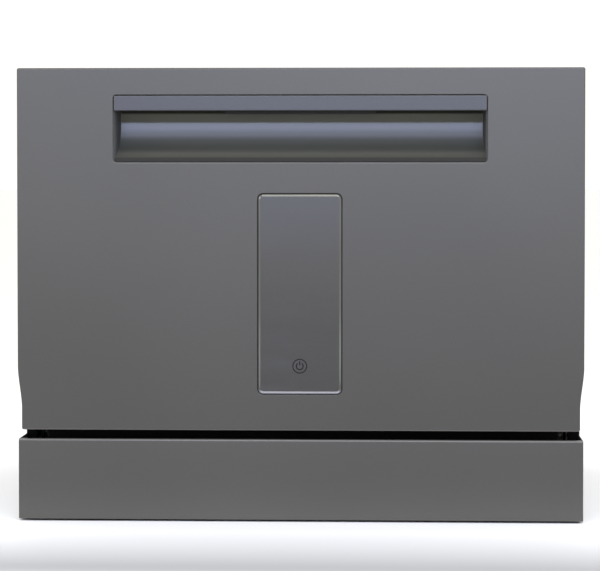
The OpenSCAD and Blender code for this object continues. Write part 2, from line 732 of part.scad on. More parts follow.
// Tension spring from the arm's tail to the post on the base: a hook, a shank, the coil, a shank and an eye
module door_spring() color(steel) {
  from = [spring_x, tail_y, tail_z];
  to = [spring_x, post_y, post_z];
  run = norm(to - from);
  lean = atan2(to[2] - from[2], to.y - from.y);
  coil_from = (run - spring_turns * spring_pitch) / 2;
  coil_to = coil_from + spring_turns * spring_pitch;
  out = (arm_x[1] - arm_x[0]) / 2 + spring_wire + 0.4; // the hook's legs pass both faces of the arm
  hook = [[-out, 3.5, 0], [-out, 1, 0], for (a = [150:-30:30]) [out * cos(a), -1.2 * sin(a), 0], [out, 1, 0],
    [out, 5, 0], [out * 0.6, 9, 0], [0, 14, 0]];
  coil = [for (i = [0:spring_turns * spring_steps])
    let(a = 360 * i / spring_steps)
    [spring_r * cos(a), coil_from + spring_pitch * i / spring_steps, spring_r * sin(a)]];
  eye_r = post_r + spring_wire + near;
  eye = [for (a = [200:-30:-110]) [0, run + eye_r * cos(a), eye_r * sin(a)]];
  translate(from) rotate([lean, 0, 0]) {
    swept(concat(hook, [[0, coil_from - 12, 0], [spring_r * 0.6, coil_from - 6, -1]], coil,
      [[spring_r * 0.6, coil_to + 6, 1], [0, coil_to + 12, 0], [0, run - eye_r - 7, -0.4]], eye), spring_wire, 6);
  }
}
module door_spring_right() door_spring();
module door_spring_left() mirror([1, 0, 0]) door_spring();

// ---- Door ----

step_z = [door_z + step_low, door_z + step_low + step_run];

// Half-width of the door at a height: narrow foot, smooth step, full width above
function door_half(z) = z <= step_z[0] ? half_w - door_step : z >= step_z[1] ? half_w :
  half_w - door_step * (1 + cos(180 * (z - step_z[0]) / step_run)) / 2;

// Outline of the door seen from the front, inset all round
module door_outline(inset) {
  rise = [door_z + inset, for (i = [0:10]) step_z[0] + step_run * i / 10, body_h - inset];
  right = [for (z = rise) [door_half(z) - inset, z]];
  left = [for (i = [len(rise) - 1:-1:0]) [inset - door_half(rise[i]), rise[i]]];
  polygon(concat(right, left));
}

// Outline of the door seen from the side: rounded edges in front, and a foot that is round about the hinge axis
module door_side(inset) {
  r = door_edge - min(inset, door_edge - 0.4);
  low = door_z + inset;
  top = body_h - inset;
  box2([front_y + inset + r, low], [hinge_y, top]);
  box2([front_y + inset, low + r], [front_y + inset + r, top - r]);
  for (z = [low + r, top - r]) translate([front_y + inset + r, z]) intersection() {
    circle(r);
    translate([-r, z > hinge_z ? 0 : -r]) square(r);
  }
  box2([hinge_y, hinge_z], [door_back - inset, top]);
  translate([hinge_y, hinge_z]) intersection() {
    circle(hinge_back - inset);
    translate([0, inset - hinge_back]) square(hinge_back - inset);
  }
}

module door_block(inset) intersection() {
  along_y(front_y - 1, door_back + 1) door_outline(inset);
  along_x(-half_w, half_w) door_side(inset);
}

// Slots in the foot of the door for the fixed brackets and for the tails of the arms
module hinge_slots() both_sides() {
  box3([bracket_x[0] - 1.5, hinge_y - 8.5, door_z - 1], [bracket_x[1] + 1.5, door_back + 1, hinge_z + 8]);
  box3([arm_x[0] - 0.5, hinge_y + 2, door_z - 1], [arm_x[1] + 0.5, door_back + 1, hinge_z - 4]);
}

recess_top = body_h - recess_drop;
recess_low = recess_top - recess_h;
grip_low = recess_top - grip_h;
scoop_z = recess_low + recess_depth; // centre of the scoop's arc

// Painted outer panel of the door, with openings for the handle and the control glass
module door_panel() color(paint) difference() {
  door_block(0);
  door_block(sheet);
  box3([-half_w - 1, hinge_y, door_z - 1], [half_w + 1, door_back + 1, body_h + 1]);
  along_y(front_y - 1, front_y + 5) round2([-recess_w / 2, recess_low], [recess_w / 2, recess_top], 2);
  along_y(front_y - 1, front_y + 5) {
    round2([-glass_w / 2 - seam, glass_low - seam], [glass_w / 2 + seam, glass_low + glass_h + seam], glass_r + seam);
  }
  hinge_slots();
}

// Stainless inner door: a tray with a foot that rolls round the hinge axis
module door_liner() color(steel) difference() {
  door_block(0.6);
  door_block(0.6 + tub_wall);
  box3([-half_w - 1, front_y - 1, door_z - 1], [half_w + 1, hinge_y, body_h + 1]);
  hinge_slots();
  box3([-12, door_back - 3, striker_z - 7], [12, door_back + 1, body_h - 4]);
  along_y(door_back - 3, door_back + 1) {
    box2([disp_at.x - disp_w / 2 + 4, disp_at.y - disp_h / 2 + 4], [disp_at.x + disp_w / 2 - 4, disp_at.y + disp_h / 2 - 4]);
  }
}

// Outline of the scoop seen from the side, grown by a wall
module scoop2(grow) {
  back = front_y + recess_depth + grow;
  box2([front_y - 1, scoop_z], [back, recess_top - seam - 1.8 + grow]);
  translate([front_y, scoop_z]) intersection() {
    circle(recess_depth + grow);
    translate([0, -recess_depth - grow]) square(recess_depth + grow);
  }
  box2([front_y - 1, recess_low - grow], [front_y, scoop_z]);
}

// Handle moulding: a scooped pocket with a grip strip flush with the door
module handle_housing() color(paint) {
  wall = 1.8;
  w = recess_w / 2 - seam;
  difference() {
    intersection() {
      along_x(-w, w) scoop2(wall);
      along_y(front_y, door_back) {
        round2([-w, recess_low + seam], [w, recess_top - seam], 1.6);
      }
    }
    along_x(wall - w, w - wall) difference() {
      scoop2(0);
      box2([front_y - 2, grip_low], [front_y + 3, body_h]);
    }
    // slot in the roof for the neck of the paddle
    box3([-21, paddle_y - 9, recess_top - 6], [21, paddle_y + 6, recess_top + 1]);
  }
}

// Release paddle behind the grip, with a neck that goes up to its pivot
module handle_lever() color(dark) {
  low = grip_low - 1;
  difference() {
    union() {
      box3([-paddle_w / 2, paddle_y - 6, low], [paddle_w / 2, paddle_y - 3, recess_top - 6.5]);
      box3([-paddle_w / 2, paddle_y - 6, low], [paddle_w / 2, paddle_y + 1, low + 2.5]);
      box3([-18, paddle_y - 5.5, recess_top - 8], [18, paddle_y - 2.5, paddle_z]);
      rod_x(-18, 18, paddle_y, paddle_z, 5);
      box3([-7, paddle_y - 1.5, paddle_z], [7, paddle_y + 1.5, paddle_z + 10]);
    }
    rod_x(-19, 19, paddle_y, paddle_z, 2.5 + run_fit);
  }
  for (x = [-60:20:60]) box3([x - 1, paddle_y - 3.5, low + 2], [x + 1, paddle_y + 0.5, recess_top - 7]);
}

// Latch case: a steel box that carries the pivots of the paddle and the pawl
module latch_case() color(zinc) {
  x = 30;
  low = recess_top + 0.6;
  top = body_h - sheet - 0.6;
  difference() {
    box3([-x, front_y + 6, low], [x, door_back - tub_wall - 1, top]);
    box3([2 - x, front_y + 8, low - 1], [x - 2, door_back - tub_wall - 3, top - 1.5]);
    box3([-12, door_back - 8, striker_z - 7], [12, door_back, top - 1.5]);
  }
  rod_x(1 - x, x - 1, paddle_y, paddle_z, 2.5);
  rod_x(1 - x, x - 1, pawl_y, pawl_z, 2.5);
}

// Pawl: a finger that the paddle pushes and a nose that catches the striker
module latch_pawl() color(steel) difference() {
  union() {
    rod_x(-7, 7, pawl_y, pawl_z, 4.6);
    along_x(-6, 6) polygon([
      [pawl_y - 3, pawl_z + 2], [pawl_y - 13.2, pawl_z + 6], [pawl_y - 13.2, pawl_z + 9.5],
      [pawl_y - 8, pawl_z + 9.5], [pawl_y + 2, pawl_z + 3.6]]);
    along_x(-6, 6) polygon([
      [pawl_y, pawl_z - 4], [pawl_y + 14, pawl_z - 3], [pawl_y + 14, pawl_z + 2.2],
      [pawl_y + 9.5, pawl_z + 3.7], [pawl_y + 9, pawl_z + 1], [pawl_y, pawl_z + 2]]);
  }
  rod_x(-8, 8, pawl_y, pawl_z, 2.5 + run_fit);
}

// Striker on the casing: a tongue with a barb that enters the latch case
module latch_striker() color(zinc) {
  box3([-22, case_y - 1.5, striker_z - 5], [22, case_y, striker_z + 5]);
  box3([-7, door_back - 16, striker_z - 1], [7, case_y - 0.5, striker_z + 1.2]);
  box3([-7, door_back - 16, striker_z - 4.5], [7, door_back - 13.5, striker_z]);
}

glass_low = door_z + glass_rise;

// Control glass with a bevelled edge, flush with the door
module control_glass() color(grey) {
  y = front_y;
  a = [-glass_w / 2, glass_low];
  b = [glass_w / 2, glass_low + glass_h];
  m = [glass_bevel, glass_bevel];
  difference() {
    along_y(y, y + 4) round2(a, b, glass_r);
    // the bevel is cut along each side
    for (s = [0, 1]) mirror([s, 0, 0]) along_z(a.y - 1, b.y + 1) {
      polygon([[b.x + 0.1, y - 0.1], [b.x + 0.1, y + m.x + 0.1], [b.x - m.x - 0.2, y - 0.1]]);
    }
    along_x(a.x - 1, b.x + 1) {
      polygon([[y - 0.1, a.y - 0.1], [y + m.x + 0.1, a.y - 0.1], [y - 0.1, a.y + m.x + 0.2]]);
      polygon([[y - 0.1, b.y + 0.1], [y + m.x + 0.1, b.y + 0.1], [y - 0.1, b.y - m.x - 0.2]]);
    }
  }
}

// Carrier behind the glass with the touch board and its parts
module control_board() color("#2f5b3c") {
  y = front_y + 4;
  difference() {
    along_y(y, y + 6) round2([-glass_w / 2 - 6, glass_low - 6], [glass_w / 2 + 6, glass_low + glass_h + 6], glass_r);
    along_y(y + 1.5, y + 7) round2([-glass_w / 2 - 4, glass_low - 4], [glass_w / 2 + 4, glass_low + glass_h + 4], glass_r);
  }
  for (i = [0:3]) box3([-24 + 10 * i, y + 1, glass_low + 40 + 34 * i], [-4 + 10 * i, y + 4, glass_low + 54 + 34 * i]);
}

// ---- Detergent dispenser on the inner door ----

disp_at = [-20, door_z + 146]; // x and z of its centre
disp_w = 175;
disp_h = 86;
disp_face = door_back + 1.8;
cup_x = disp_at.x - 54; // centre of the detergent cup
lid_travel = 56;
cap_x = disp_at.x + 62;
cap_r = 16;

module dispenser_body() color(grey) {
  w = disp_w / 2;
  h = disp_h / 2;
  difference() {
    union() {
      along_y(door_back, disp_face) round2([disp_at.x - w, disp_at.y - h], [disp_at.x + w, disp_at.y + h], 8);
      along_y(door_back - 28, door_back) box2([disp_at.x - w + 5, disp_at.y - h + 5], [disp_at.x + w - 5, disp_at.y + h - 5]);
    }
    along_y(door_back - 26, disp_face + 1) round2([cup_x - 26, disp_at.y - 31], [cup_x + 26, disp_at.y + 31], 6);
    rod_y(cap_x, door_back - 22, disp_face + 1, disp_at.y, 10);
  }
  // rails that the lid slides in
  for (s = [-1, 1]) {
    z = disp_at.y + s * 36.6;
    box3([disp_at.x - w + 4, disp_face - 0.5, z - 1.4], [disp_at.x + 34, disp_face + 3.6, z + 1.4]);
    box3([disp_at.x - w + 4, disp_face + 2.6, z - 1.4 - (s > 0 ? 1.6 : 0)], [disp_at.x + 34, disp_face + 3.6, z + 1.4 + (s > 0 ? 0 : 1.6)]);
  }
}

module dispenser_lid() color(white) {
  y = disp_face + near;
  difference() {
    union() {
      box3([cup_x - 29, y, disp_at.y - 34.8], [cup_x + 29, y + 2, disp_at.y + 34.8]);
      box3([cup_x - 29, y, disp_at.y - 32.8], [cup_x + 29, y + 4.4, disp_at.y + 32.8]);
    }
    along_y(y + 2.4, y + 5) round2([cup_x - 24, disp_at.y - 28], [cup_x + 24, disp_at.y + 28], 5);
  }
  box3([cup_x + 12, y + 2, disp_at.y - 20], [cup_x + 15, y + 5, disp_at.y + 20]);
}

module rinse_cap() color(grey) {
  rod_y(cap_x, disp_face + near, disp_face + 4, disp_at.y, cap_r);
  rod_y(cap_x, door_back - 8, disp_face + near, disp_at.y, 10 - run_fit);
  box3([cap_x - 12, disp_face + 3.5, disp_at.y - 2], [cap_x + 12, disp_face + 7, disp_at.y + 2]);
}

// ---- Rack ----

long_half = rack_half - bend_r - 4; // outermost long wire
long_x = [for (i = [0:wires_long - 1]) long_half * (2 * i / (wires_long - 1) - 1)];
cross_y = [for (i = [0:wires_cross - 1])
  rack_front + bend_r + 8 + (rack_back - rack_front - 2 * bend_r - 16) * i / (wires_cross - 1)];

// Quarter bend of a wire about the origin, from +X to +Z
module bend(r) rotate([90, 0, 0]) rotate_extrude(angle = 90) translate([bend_r, 0]) circle(r);

// Floor: long wires over cross wires
module rack_floor() color(white) {
  for (x = long_x) rod_y(x, rack_front + bend_r, rack_back - bend_r, rack_z, wire_r);
  for (y = cross_y) rod_x(bend_r - rack_half, rack_half - bend_r, y, cross_z, wire_r);
}

// Rim wire of a front or rear wall, with the quarter bends of the rack's corners
module rim_end(z) {
  rod_x(corner_r - rack_half, rack_half - corner_r, 0, z, rim_r);
  both_sides() translate([rack_half - corner_r, -corner_r, z]) rotate_extrude(angle = 90) {
    translate([corner_r, 0]) circle(rim_r);
  }
}

// Wire of a wall: it turns up from the floor at height z and goes on to the rim
module wall_wire(z) {
  translate([0, -bend_r, z + bend_r]) rotate([0, 0, 90]) rotate([0, 90, 0]) bend(wire_r);
  rod_z(0, 0, z + bend_r, rack_top, wire_r);
}

module rack_end() {
  for (z = [rack_mid, rack_top]) rim_end(z);
  for (x = long_x) translate([x, 0, 0]) wall_wire(rack_z);
}
module rack_rear() color(white) translate([0, rack_back, 0]) rack_end();
module rack_front() color(white) translate([0, rack_front, 0]) mirror([0, 1, 0]) rack_end();

// Side wall: upright wires, two rims, and two brackets with the axles of the wheels
module rack_side() {
  for (z = [rack_mid, rack_top]) rod_y(rack_half, rack_front + corner_r, rack_back - corner_r, z, rim_r);
  for (y = cross_y) translate([rack_half, y, 0]) rotate([0, 0, -90]) wall_wire(cross_z);
  for (y = wheel_y) {
    along_x(rack_half + 1, bracket_out) {
      slot2([y, wheel_z + 3], [y, rack_mid], 9);
      box2([y - 20, rack_mid - 6], [y + 20, rack_mid + 6]);
    }
    rod_x(bracket_out - 1, wheel_in + wheel_w + 0.4, y, wheel_z, axle_r);
    rod_x(wheel_in + wheel_w + 0.4, wheel_in + wheel_w + 1.8, y, wheel_z, axle_r + 1.5);
  }
}
module rack_side_right() color(white) rack_side();
module rack_side_left() color(white) mirror([1, 0, 0]) rack_side();

tine_y = [cross_y[2], cross_y[4]];
tine_gap = long_half / (wires_long - 1); // two tines to each space between long wires
// Two rows of tines that stand on cross wires
module rack_tines() color(white) for (y = tine_y, i = [0:tines - 1]) {
  rod_z(tine_gap * (i + 0.5) - long_half, y, cross_z + wire_r - 0.05, cross_z + tine_h, 1.6);
}

// Wheel with a groove, spokes and a bore for its axle
module rack_wheel(i, j) color(grey) translate([0, wheel_y[j], wheel_z]) mirror([i == 0 ? 1 : 0, 0, 0]) {
  translate([wheel_in, 0, 0]) rotate([0, 90, 0]) difference() {
    rotate_extrude() polygon([
      [axle_r + run_fit, 0], [wheel_r - 1, 0], [wheel_r, 1], [wheel_r, wheel_w - 1], [wheel_r - 1, wheel_w],
      [axle_r + run_fit, wheel_w]]);
    for (a = [0:72:288]) rotate(a) translate([wheel_r * 0.6, 0, -1]) cylinder(h = wheel_w + 2, r = 2.2);
  }
}

basket_from = [rack_half - 98, rack_front + 30];
basket_to = [rack_half - 22, rack_front + 168];
basket_low = rack_z + wire_r + near;
basket_top = basket_low + 84;
basket_wall = 2;
// Edges of the basket's six cells along Y
function cell_edge(i) = basket_from.y + (basket_to.y - basket_from.y) * i / 3;

// Cutlery basket: four walls, the two long ones slotted
module cutlery_basket() color(grey) {
  a = basket_from;
  b = basket_to;
  t = basket_wall;
  difference() {
    box3([a.x, a.y, basket_low], [b.x, b.y, basket_top]);
    box3([a.x + t, a.y + t, basket_low - 1], [b.x - t, b.y - t, basket_top + 1]);
    for (y = [a.y + 12:12:b.y - 18]) box3([a.x - 1, y, basket_low + 12], [b.x + 1, y + 6, basket_top - 16]);
  }
}

// Base of the basket: a grid that clips in between the walls
module basket_base() color(grey) {
  c = basket_wall + cradle_fit;
  a = basket_from + [c, c];
  b = basket_to - [c, c];
  difference() {
    box3([a.x, a.y, basket_low], [b.x, b.y, basket_low + 2]);
    for (x = [basket_from.x + 11:12:b.x - 8], y = [basket_from.y + 12:12:b.y - 12]) {
      box3([x, y, basket_low - 1], [x + 6, y + 6, basket_low + 3]);
    }
  }
}

// Divider of the basket: one long and two cross partitions, and the handle
module basket_divider() color(grey) {
  c = basket_wall + cradle_fit;
  a = basket_from + [c, c];
  b = basket_to - [c, c];
  mid = (a.x + b.x) / 2;
  low = basket_low + 2 + cradle_fit;
  box3([mid - 1, a.y, low], [mid + 1, b.y, basket_top]);
  for (i = [1, 2]) box3([a.x, cell_edge(i) - 1, low], [b.x, cell_edge(i) + 1, basket_top]);
  for (y = [a.y, b.y - 6]) box3([mid - 5, y, low], [mid + 5, y + 6, basket_top + 40]);
  box3([mid - 5, a.y, basket_top + 36], [mid + 5, b.y, basket_top + 42]);
}

shelf_w = 92;
shelf_y = [cross_y[1] + 14, cross_y[5] - 14];
// Cup shelf: a wire frame that turns on the rack's left rim
module cup_shelf() color(white) translate([-rack_half, 0, rack_top]) {
  r = wire_r;
  for (y = [shelf_y[0] + 8, shelf_y[1] - 8]) difference() {
    rod_y(0, y - 5, y + 5, 0, 5.5);
    rod_y(0, y - 6, y + 6, 0, rim_r + run_fit);
  }
  for (y = [shelf_y[0] + 8, shelf_y[1] - 8]) rod_x(4, shelf_w, y, 0, r);
  for (x = [10, shelf_w]) rod_y(x, shelf_y[0], shelf_y[1], 0, r + 0.4);
  for (i = [1:5]) rod_x(10, shelf_w, shelf_y[0] + 8 + (shelf_y[1] - shelf_y[0] - 16) * i / 6, 0, r);
}

outer_casing();
rear_panel();
base_tray();
plinth_panel();
tub_shell();
door_gasket();
sill_seal();
sump_bowl();
filter_plate();
spray_hub();
wash_pump();
pump_motor();
drain_pump();
flow_heater();
softener_tank();
air_break();
pump_hoses();
inlet_valve();
drain_spigot();
power_gland();
float_switch();
hinge_brackets();
door_spring_left();
door_spring_right();
latch_striker();
casing_screws();
door_panel();
handle_housing();
door_liner();
control_glass();
control_board();
latch_case();
hinge_arms();
dispenser_body();
handle_lever();
latch_pawl();
dispenser_lid();
rinse_cap();
spray_arm();
filter_cup();
salt_cap();
float_dome();
foot(0, 0);  // foot_front_left
foot(1, 0);  // foot_front_right
foot(0, 1);  // foot_rear_left
foot(1, 1);  // foot_rear_right
rack_floor();
rack_front();
rack_rear();
rack_side_left();
rack_side_right();
rack_tines();
rack_wheel(0, 0);  // rack_wheel_front_left
rack_wheel(1, 0);  // rack_wheel_front_right
rack_wheel(0, 1);  // rack_wheel_rear_left
rack_wheel(1, 1);  // rack_wheel_rear_right
cutlery_basket();
basket_base();
basket_divider();
cup_shelf();
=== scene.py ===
"""Countertop dishwasher: its visible surfaces, finishes and studio, laid out as an add-on.

Lengths in the shape functions are in millimetres, in the frame of the CAD model: X to the
right, Y from the front to the back and Z up. Each piece is put into its mesh in metres.
"""

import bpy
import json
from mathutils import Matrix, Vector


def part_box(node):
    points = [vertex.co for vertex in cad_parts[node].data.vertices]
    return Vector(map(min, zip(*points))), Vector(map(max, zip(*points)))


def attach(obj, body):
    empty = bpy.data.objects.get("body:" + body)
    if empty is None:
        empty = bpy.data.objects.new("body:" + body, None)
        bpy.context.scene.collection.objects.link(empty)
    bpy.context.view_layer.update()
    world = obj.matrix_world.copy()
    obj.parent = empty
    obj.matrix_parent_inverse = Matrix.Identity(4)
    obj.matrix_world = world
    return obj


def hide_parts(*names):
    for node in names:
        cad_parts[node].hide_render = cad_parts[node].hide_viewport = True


bl_info = {
    "name": "Countertop dishwasher",
    "version": (1, 0, 0),
    "blender": (4, 5, 0),
    "location": "3D View > Sidebar > Dishwasher",
    "description": "Builds the surfaces and finishes of a countertop dishwasher",
    "category": "Object",
}

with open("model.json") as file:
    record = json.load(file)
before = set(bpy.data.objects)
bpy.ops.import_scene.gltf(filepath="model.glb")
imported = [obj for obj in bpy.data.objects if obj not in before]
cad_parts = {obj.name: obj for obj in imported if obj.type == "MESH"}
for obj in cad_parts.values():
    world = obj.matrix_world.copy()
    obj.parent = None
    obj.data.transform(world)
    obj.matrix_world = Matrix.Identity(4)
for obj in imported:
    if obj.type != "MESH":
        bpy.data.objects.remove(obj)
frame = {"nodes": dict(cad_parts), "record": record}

import json
import math

import bmesh
import bpy
import numpy as np
from bpy.props import FloatProperty, FloatVectorProperty, PointerProperty, StringProperty
from mathutils import Vector
from mathutils.geometry import tessellate_polygon

MM = 0.001
TAU = 2 * math.pi


def node_box(node):
    """Lowest and highest corner of a CAD node in millimetres."""
    lo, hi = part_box(node)
    return np.array(lo) / MM, np.array(hi) / MM


DOOR = node_box("door_panel")
CASING = node_box("outer_casing")
PLINTH = node_box("plinth_panel")
GLASS = node_box("control_glass")
POCKET = node_box("handle_housing")
RACK_FLOOR = node_box("rack_floor")
RIMS = node_box("rack_rear")
LINER = node_box("door_liner")
HINGE = (LINER[0][1], DOOR[0][2] + 22.0)  # y and z of the door's axis
TUB_FLOOR = 118.0  # height of the floor of the tub
SEAL_INSIDE = 247.8  # distance from the middle of the machine to the inner side of the door seal
FOOT_PAD = 5.6  # height of the rubber pad of a foot
STEM = 4.0  # radius of the threaded stem of a foot
TINES = 11  # tines in each of the two rows
WELD = 2e-6  # distance in metres within which points of a piece are merged


# ---- Sizes and colours ----


class DISHWASHER_PG_studio(bpy.types.PropertyGroup):
    """Camera, floor and lights."""

    distance: FloatProperty(name="Distance", description="From the camera to the door", default=2.4, unit="LENGTH")
    height: FloatProperty(name="Height", description="Height of the camera", default=0.34, unit="LENGTH")
    side: FloatProperty(name="Side", description="How far right the camera stands", default=0.0979, unit="LENGTH")
    turn: FloatProperty(name="Turn", description="Turn to the left", default=math.radians(2.330), unit="ROTATION")
    tilt: FloatProperty(name="Tilt", description="Tilt downwards", default=math.radians(1.70), unit="ROTATION")
    rise: FloatProperty(name="Rise", description="Vertical shift of the lens, as a share of its width", default=-0.0694)
    lens: FloatProperty(name="Lens", description="Focal length in millimetres", default=149.9)
    overhead: FloatProperty(name="Overhead", description="Power of the softbox above", default=20.0, unit="POWER")
    strip: FloatProperty(name="Strip light", description="Power of the long strip in front", default=38.0, unit="POWER")
    fill: FloatProperty(name="Fill light", description="Power of the side softboxes", default=11.0, unit="POWER")
    ambient: FloatProperty(name="Ambient", description="Strength of the white surround", default=1.07)


class DISHWASHER_PG_front(bpy.types.PropertyGroup):
    """Shapes of the door and the plinth, in millimetres."""

    edge: FloatProperty(name="Door edge", description="Radius of the rolled edge of the door", default=1.3)
    sheet: FloatProperty(name="Sheet", description="Thickness of the painted sheet", default=1.2)
    reveal: FloatProperty(name="Reveal", description="How far the door's sides stand in from the casing's", default=1.7)
    foot_step: FloatProperty(name="Foot step", description="Step in at the foot of the door", default=5.6)
    foot_low: FloatProperty(name="Foot height", description="Height of the narrow foot", default=23.0)
    foot_run: FloatProperty(name="Step run", description="Height over which the step runs out", default=36.5)
    scoop: FloatProperty(name="Scoop radius", description="Radius at the foot of the handle scoop", default=22.0)
    scoop_depth: FloatProperty(name="Scoop depth", description="Greatest depth of the handle scoop", default=41.4)
    drop: FloatProperty(name="Sill drop", description="How far the recess's sill lies below its pocket", default=0.2)
    narrow: FloatProperty(name="Narrowing", description="How far the recess's ends stand in", default=1.3)
    grip: FloatProperty(name="Grip height", description="Height of the grip strip", default=15.3)
    bevel: FloatProperty(name="Glass bevel", description="Width of the bevel round the glass", default=2.3)


class DISHWASHER_PG_rack(bpy.types.PropertyGroup):
    """Shapes of the rack, in millimetres."""

    wire: FloatProperty(name="Wire", description="Radius of the wires", default=2.0)
    rim: FloatProperty(name="Rim", description="Radius of the rim wires", default=2.5)
    bend: FloatProperty(name="Bend", description="Bend radius of the wires", default=20.0)
    corner: FloatProperty(name="Corner", description="Radius of the rack's corners", default=24.0)


class DISHWASHER_PG_colours(bpy.types.PropertyGroup):
    """Colours as sRGB hex values."""

    paint: StringProperty(name="Paint", description="Powder coat on the door, casing and plinth", default="#52504b")
    moulding: StringProperty(name="Handle moulding", description="Painted moulding of the handle", default="#4a4a4b")
    film: StringProperty(name="Print", description="Print behind the control glass", default="#413f3c")
    sign: StringProperty(name="Sign", description="Printed power sign", default="#181817")
    stainless: StringProperty(name="Stainless", description="Tub and inner door", default="#c4c5c6")
    wire: StringProperty(name="Rack wire", description="Nylon coat of the rack", default="#c3c8cc")


# ---- Meshes from arrays ----


def arc(start, stop, count):
    """Evenly spaced angles in radians from one angle in degrees to another."""
    return np.radians(np.linspace(start, stop, count))


def full_turn(count):
    """Angles in radians of points spread evenly round a circle."""
    return np.arange(count) * TAU / count


def wave(angle):
    """A smooth wave from 0 to 1 and back: half of 1 - cos."""
    return 0.5 - 0.5 * np.cos(angle)


def quads(rows, columns, wrap_rows=False, wrap_columns=True):
    """Faces of a grid of points, row after row, joined end to end where it wraps."""
    i = np.arange(rows if wrap_rows else rows - 1)[:, None]
    j = np.arange(columns if wrap_columns else columns - 1)[None, :]
    up, right = (i + 1) % rows, (j + 1) % columns
    corners = [i * columns + j, i * columns + right, up * columns + right, up * columns + j]
    return np.stack(corners, axis=-1).reshape(-1, 4).tolist()


def sheet(loops, **wraps):
    """Loops of equal length, stacked into a skin whose two ends are open."""
    loops = np.asarray(loops, dtype=float)
    return loops.reshape(-1, 3), quads(*loops.shape[:2], **wraps)


def loft(loops):
    """Closed loops of equal length, stacked into a skin; a cap closes the first and the last."""
    points, faces = sheet(loops)
    around = list(range(len(loops[0])))
    last = len(points) - len(around)
    return points, faces + [around[::-1], [last + k for k in around]]


def ring(loops):
    """Closed loops of equal length whose last joins the first: a closed hoop."""
    return sheet(loops, wrap_rows=True)


def unit(vectors):
    """Vectors divided by their lengths."""
    return vectors / np.linalg.norm(vectors, axis=-1, keepdims=True)


def tube(path, radius, sides=12, closed=False, reference=(0.31, 0.17, 1.0)):
    """A circle carried along a path: point = path + radius * (cos a * u + sin a * v).

    u is square to the path and to the reference direction and v is square to both. An open path
    ends in domes: the circle shrinks by the cosine while it moves on by the sine.
    """
    path = np.asarray(path, dtype=float)
    if closed:
        ahead = np.roll(path, -1, axis=0) - np.roll(path, 1, axis=0)
    else:
        ahead = np.gradient(path, axis=0)
    ahead = unit(ahead)
    size = np.full(len(path), float(radius))
    if not closed:
        turn = np.radians([80.0, 55.0, 28.0])
        first = path[0] - ahead[0] * radius * np.sin(turn)[:, None]
        last = path[-1] + ahead[-1] * radius * np.sin(turn[::-1])[:, None]
        path = np.concatenate([first, path, last])
        ahead = np.concatenate([np.repeat(ahead[:1], 3, 0), ahead, np.repeat(ahead[-1:], 3, 0)])
        size = np.concatenate([radius * np.cos(turn), size, radius * np.cos(turn[::-1])])
    u = unit(np.cross(ahead, np.asarray(reference, dtype=float)))
    v = np.cross(ahead, u)
    a = full_turn(sides)
    circle = np.cos(a)[None, :, None] * u[:, None] + np.sin(a)[None, :, None] * v[:, None]
    loops = path[:, None] + size[:, None, None] * circle
    return ring(loops) if closed else loft(loops)


def revolve(profile, centre, axis="z", sides=48, ripple=None, open_middle=False):
    """A profile of (radius, height) pairs turned about an axis through the centre.

    ripple(angle, radius, height) gives a factor on the radius, for ribs and knurls. With an open
    middle the profile is a closed loop and makes a hoop; otherwise flat caps close its two ends.
    """
    r, h = np.asarray(profile, dtype=float).T
    a = full_turn(sides)
    rr = np.repeat(r[:, None], sides, axis=1)
    if ripple is not None:
        rr = rr * ripple(a[None, :], r[:, None], h[:, None])
    x, y, z = rr * np.cos(a), rr * np.sin(a), np.repeat(h[:, None], sides, axis=1)
    spun = {"z": (x, y, z), "x": (z, x, y), "y": (y, z, x)}[axis]
    return (ring if open_middle else loft)(np.stack(spun, axis=-1) + np.asarray(centre, dtype=float))


def bent_path(corners, radii, steps=7, closed=False):
    """Straight runs joined by circular arcs: each corner is cut back by its radius * tan(half the turn)."""
    corners = [np.asarray(c, dtype=float) for c in corners]
    count = len(corners)
    radii = np.broadcast_to(np.asarray(radii, dtype=float), count)
    out = []
    for k, corner in enumerate(corners):
        if not closed and k in (0, count - 1):
            out.append(corner[None])
            continue
        back, on = unit(corners[k - 1] - corner), unit(corners[(k + 1) % count] - corner)
        half = math.acos(float(np.clip(-back @ on, -1, 1))) / 2
        if half < 0.01:
            out.append(corner[None])
            continue
        radius = radii[k]
        middle = corner + unit(back + on) * radius / math.cos(half)
        start = corner + back * radius * math.tan(half) - middle
        a = np.linspace(0, 2 * half, steps)[:, None]
        out.append(middle + start * np.cos(a) - back * radius * np.sin(a))
    return np.concatenate(out)


def fine_path(path, step):
    """The same path with points at most a step apart."""
    path = np.asarray(path, dtype=float)
    lengths = np.linalg.norm(np.diff(path, axis=0), axis=1)
    along = np.concatenate([[0], np.cumsum(lengths)])
    marks = np.union1d(along, np.arange(0, along[-1], step))
    return np.stack([np.interp(marks, along, path[:, k]) for k in range(3)], axis=-1)


def rounded_rect(lo, hi, r, steps=6):
    """Outline of a rectangle with true arcs at its corners, anticlockwise, as (u, v) pairs."""
    a = arc(0, 90, steps)
    centres = [(hi[0] - r, hi[1] - r), (lo[0] + r, hi[1] - r), (lo[0] + r, lo[1] + r), (hi[0] - r, lo[1] + r)]
    corners = [np.stack([u + r * np.cos(a + k * math.pi / 2), v + r * np.sin(a + k * math.pi / 2)], axis=-1)
               for k, (u, v) in enumerate(centres)]
    return np.concatenate(corners)


def shift_in(outline, amount):
    """A closed outline moved inwards: each point goes along the mean of its sides' normals."""
    ahead = unit(np.roll(outline, -1, axis=0) - outline)
    behind = np.roll(ahead, 1, axis=0)
    normal = np.stack([-(ahead + behind)[:, 1], (ahead + behind)[:, 0]], axis=-1)
    lean = np.sum(ahead * behind, axis=1, keepdims=True)
    return outline + amount * normal / np.maximum(1 + lean, 0.35)


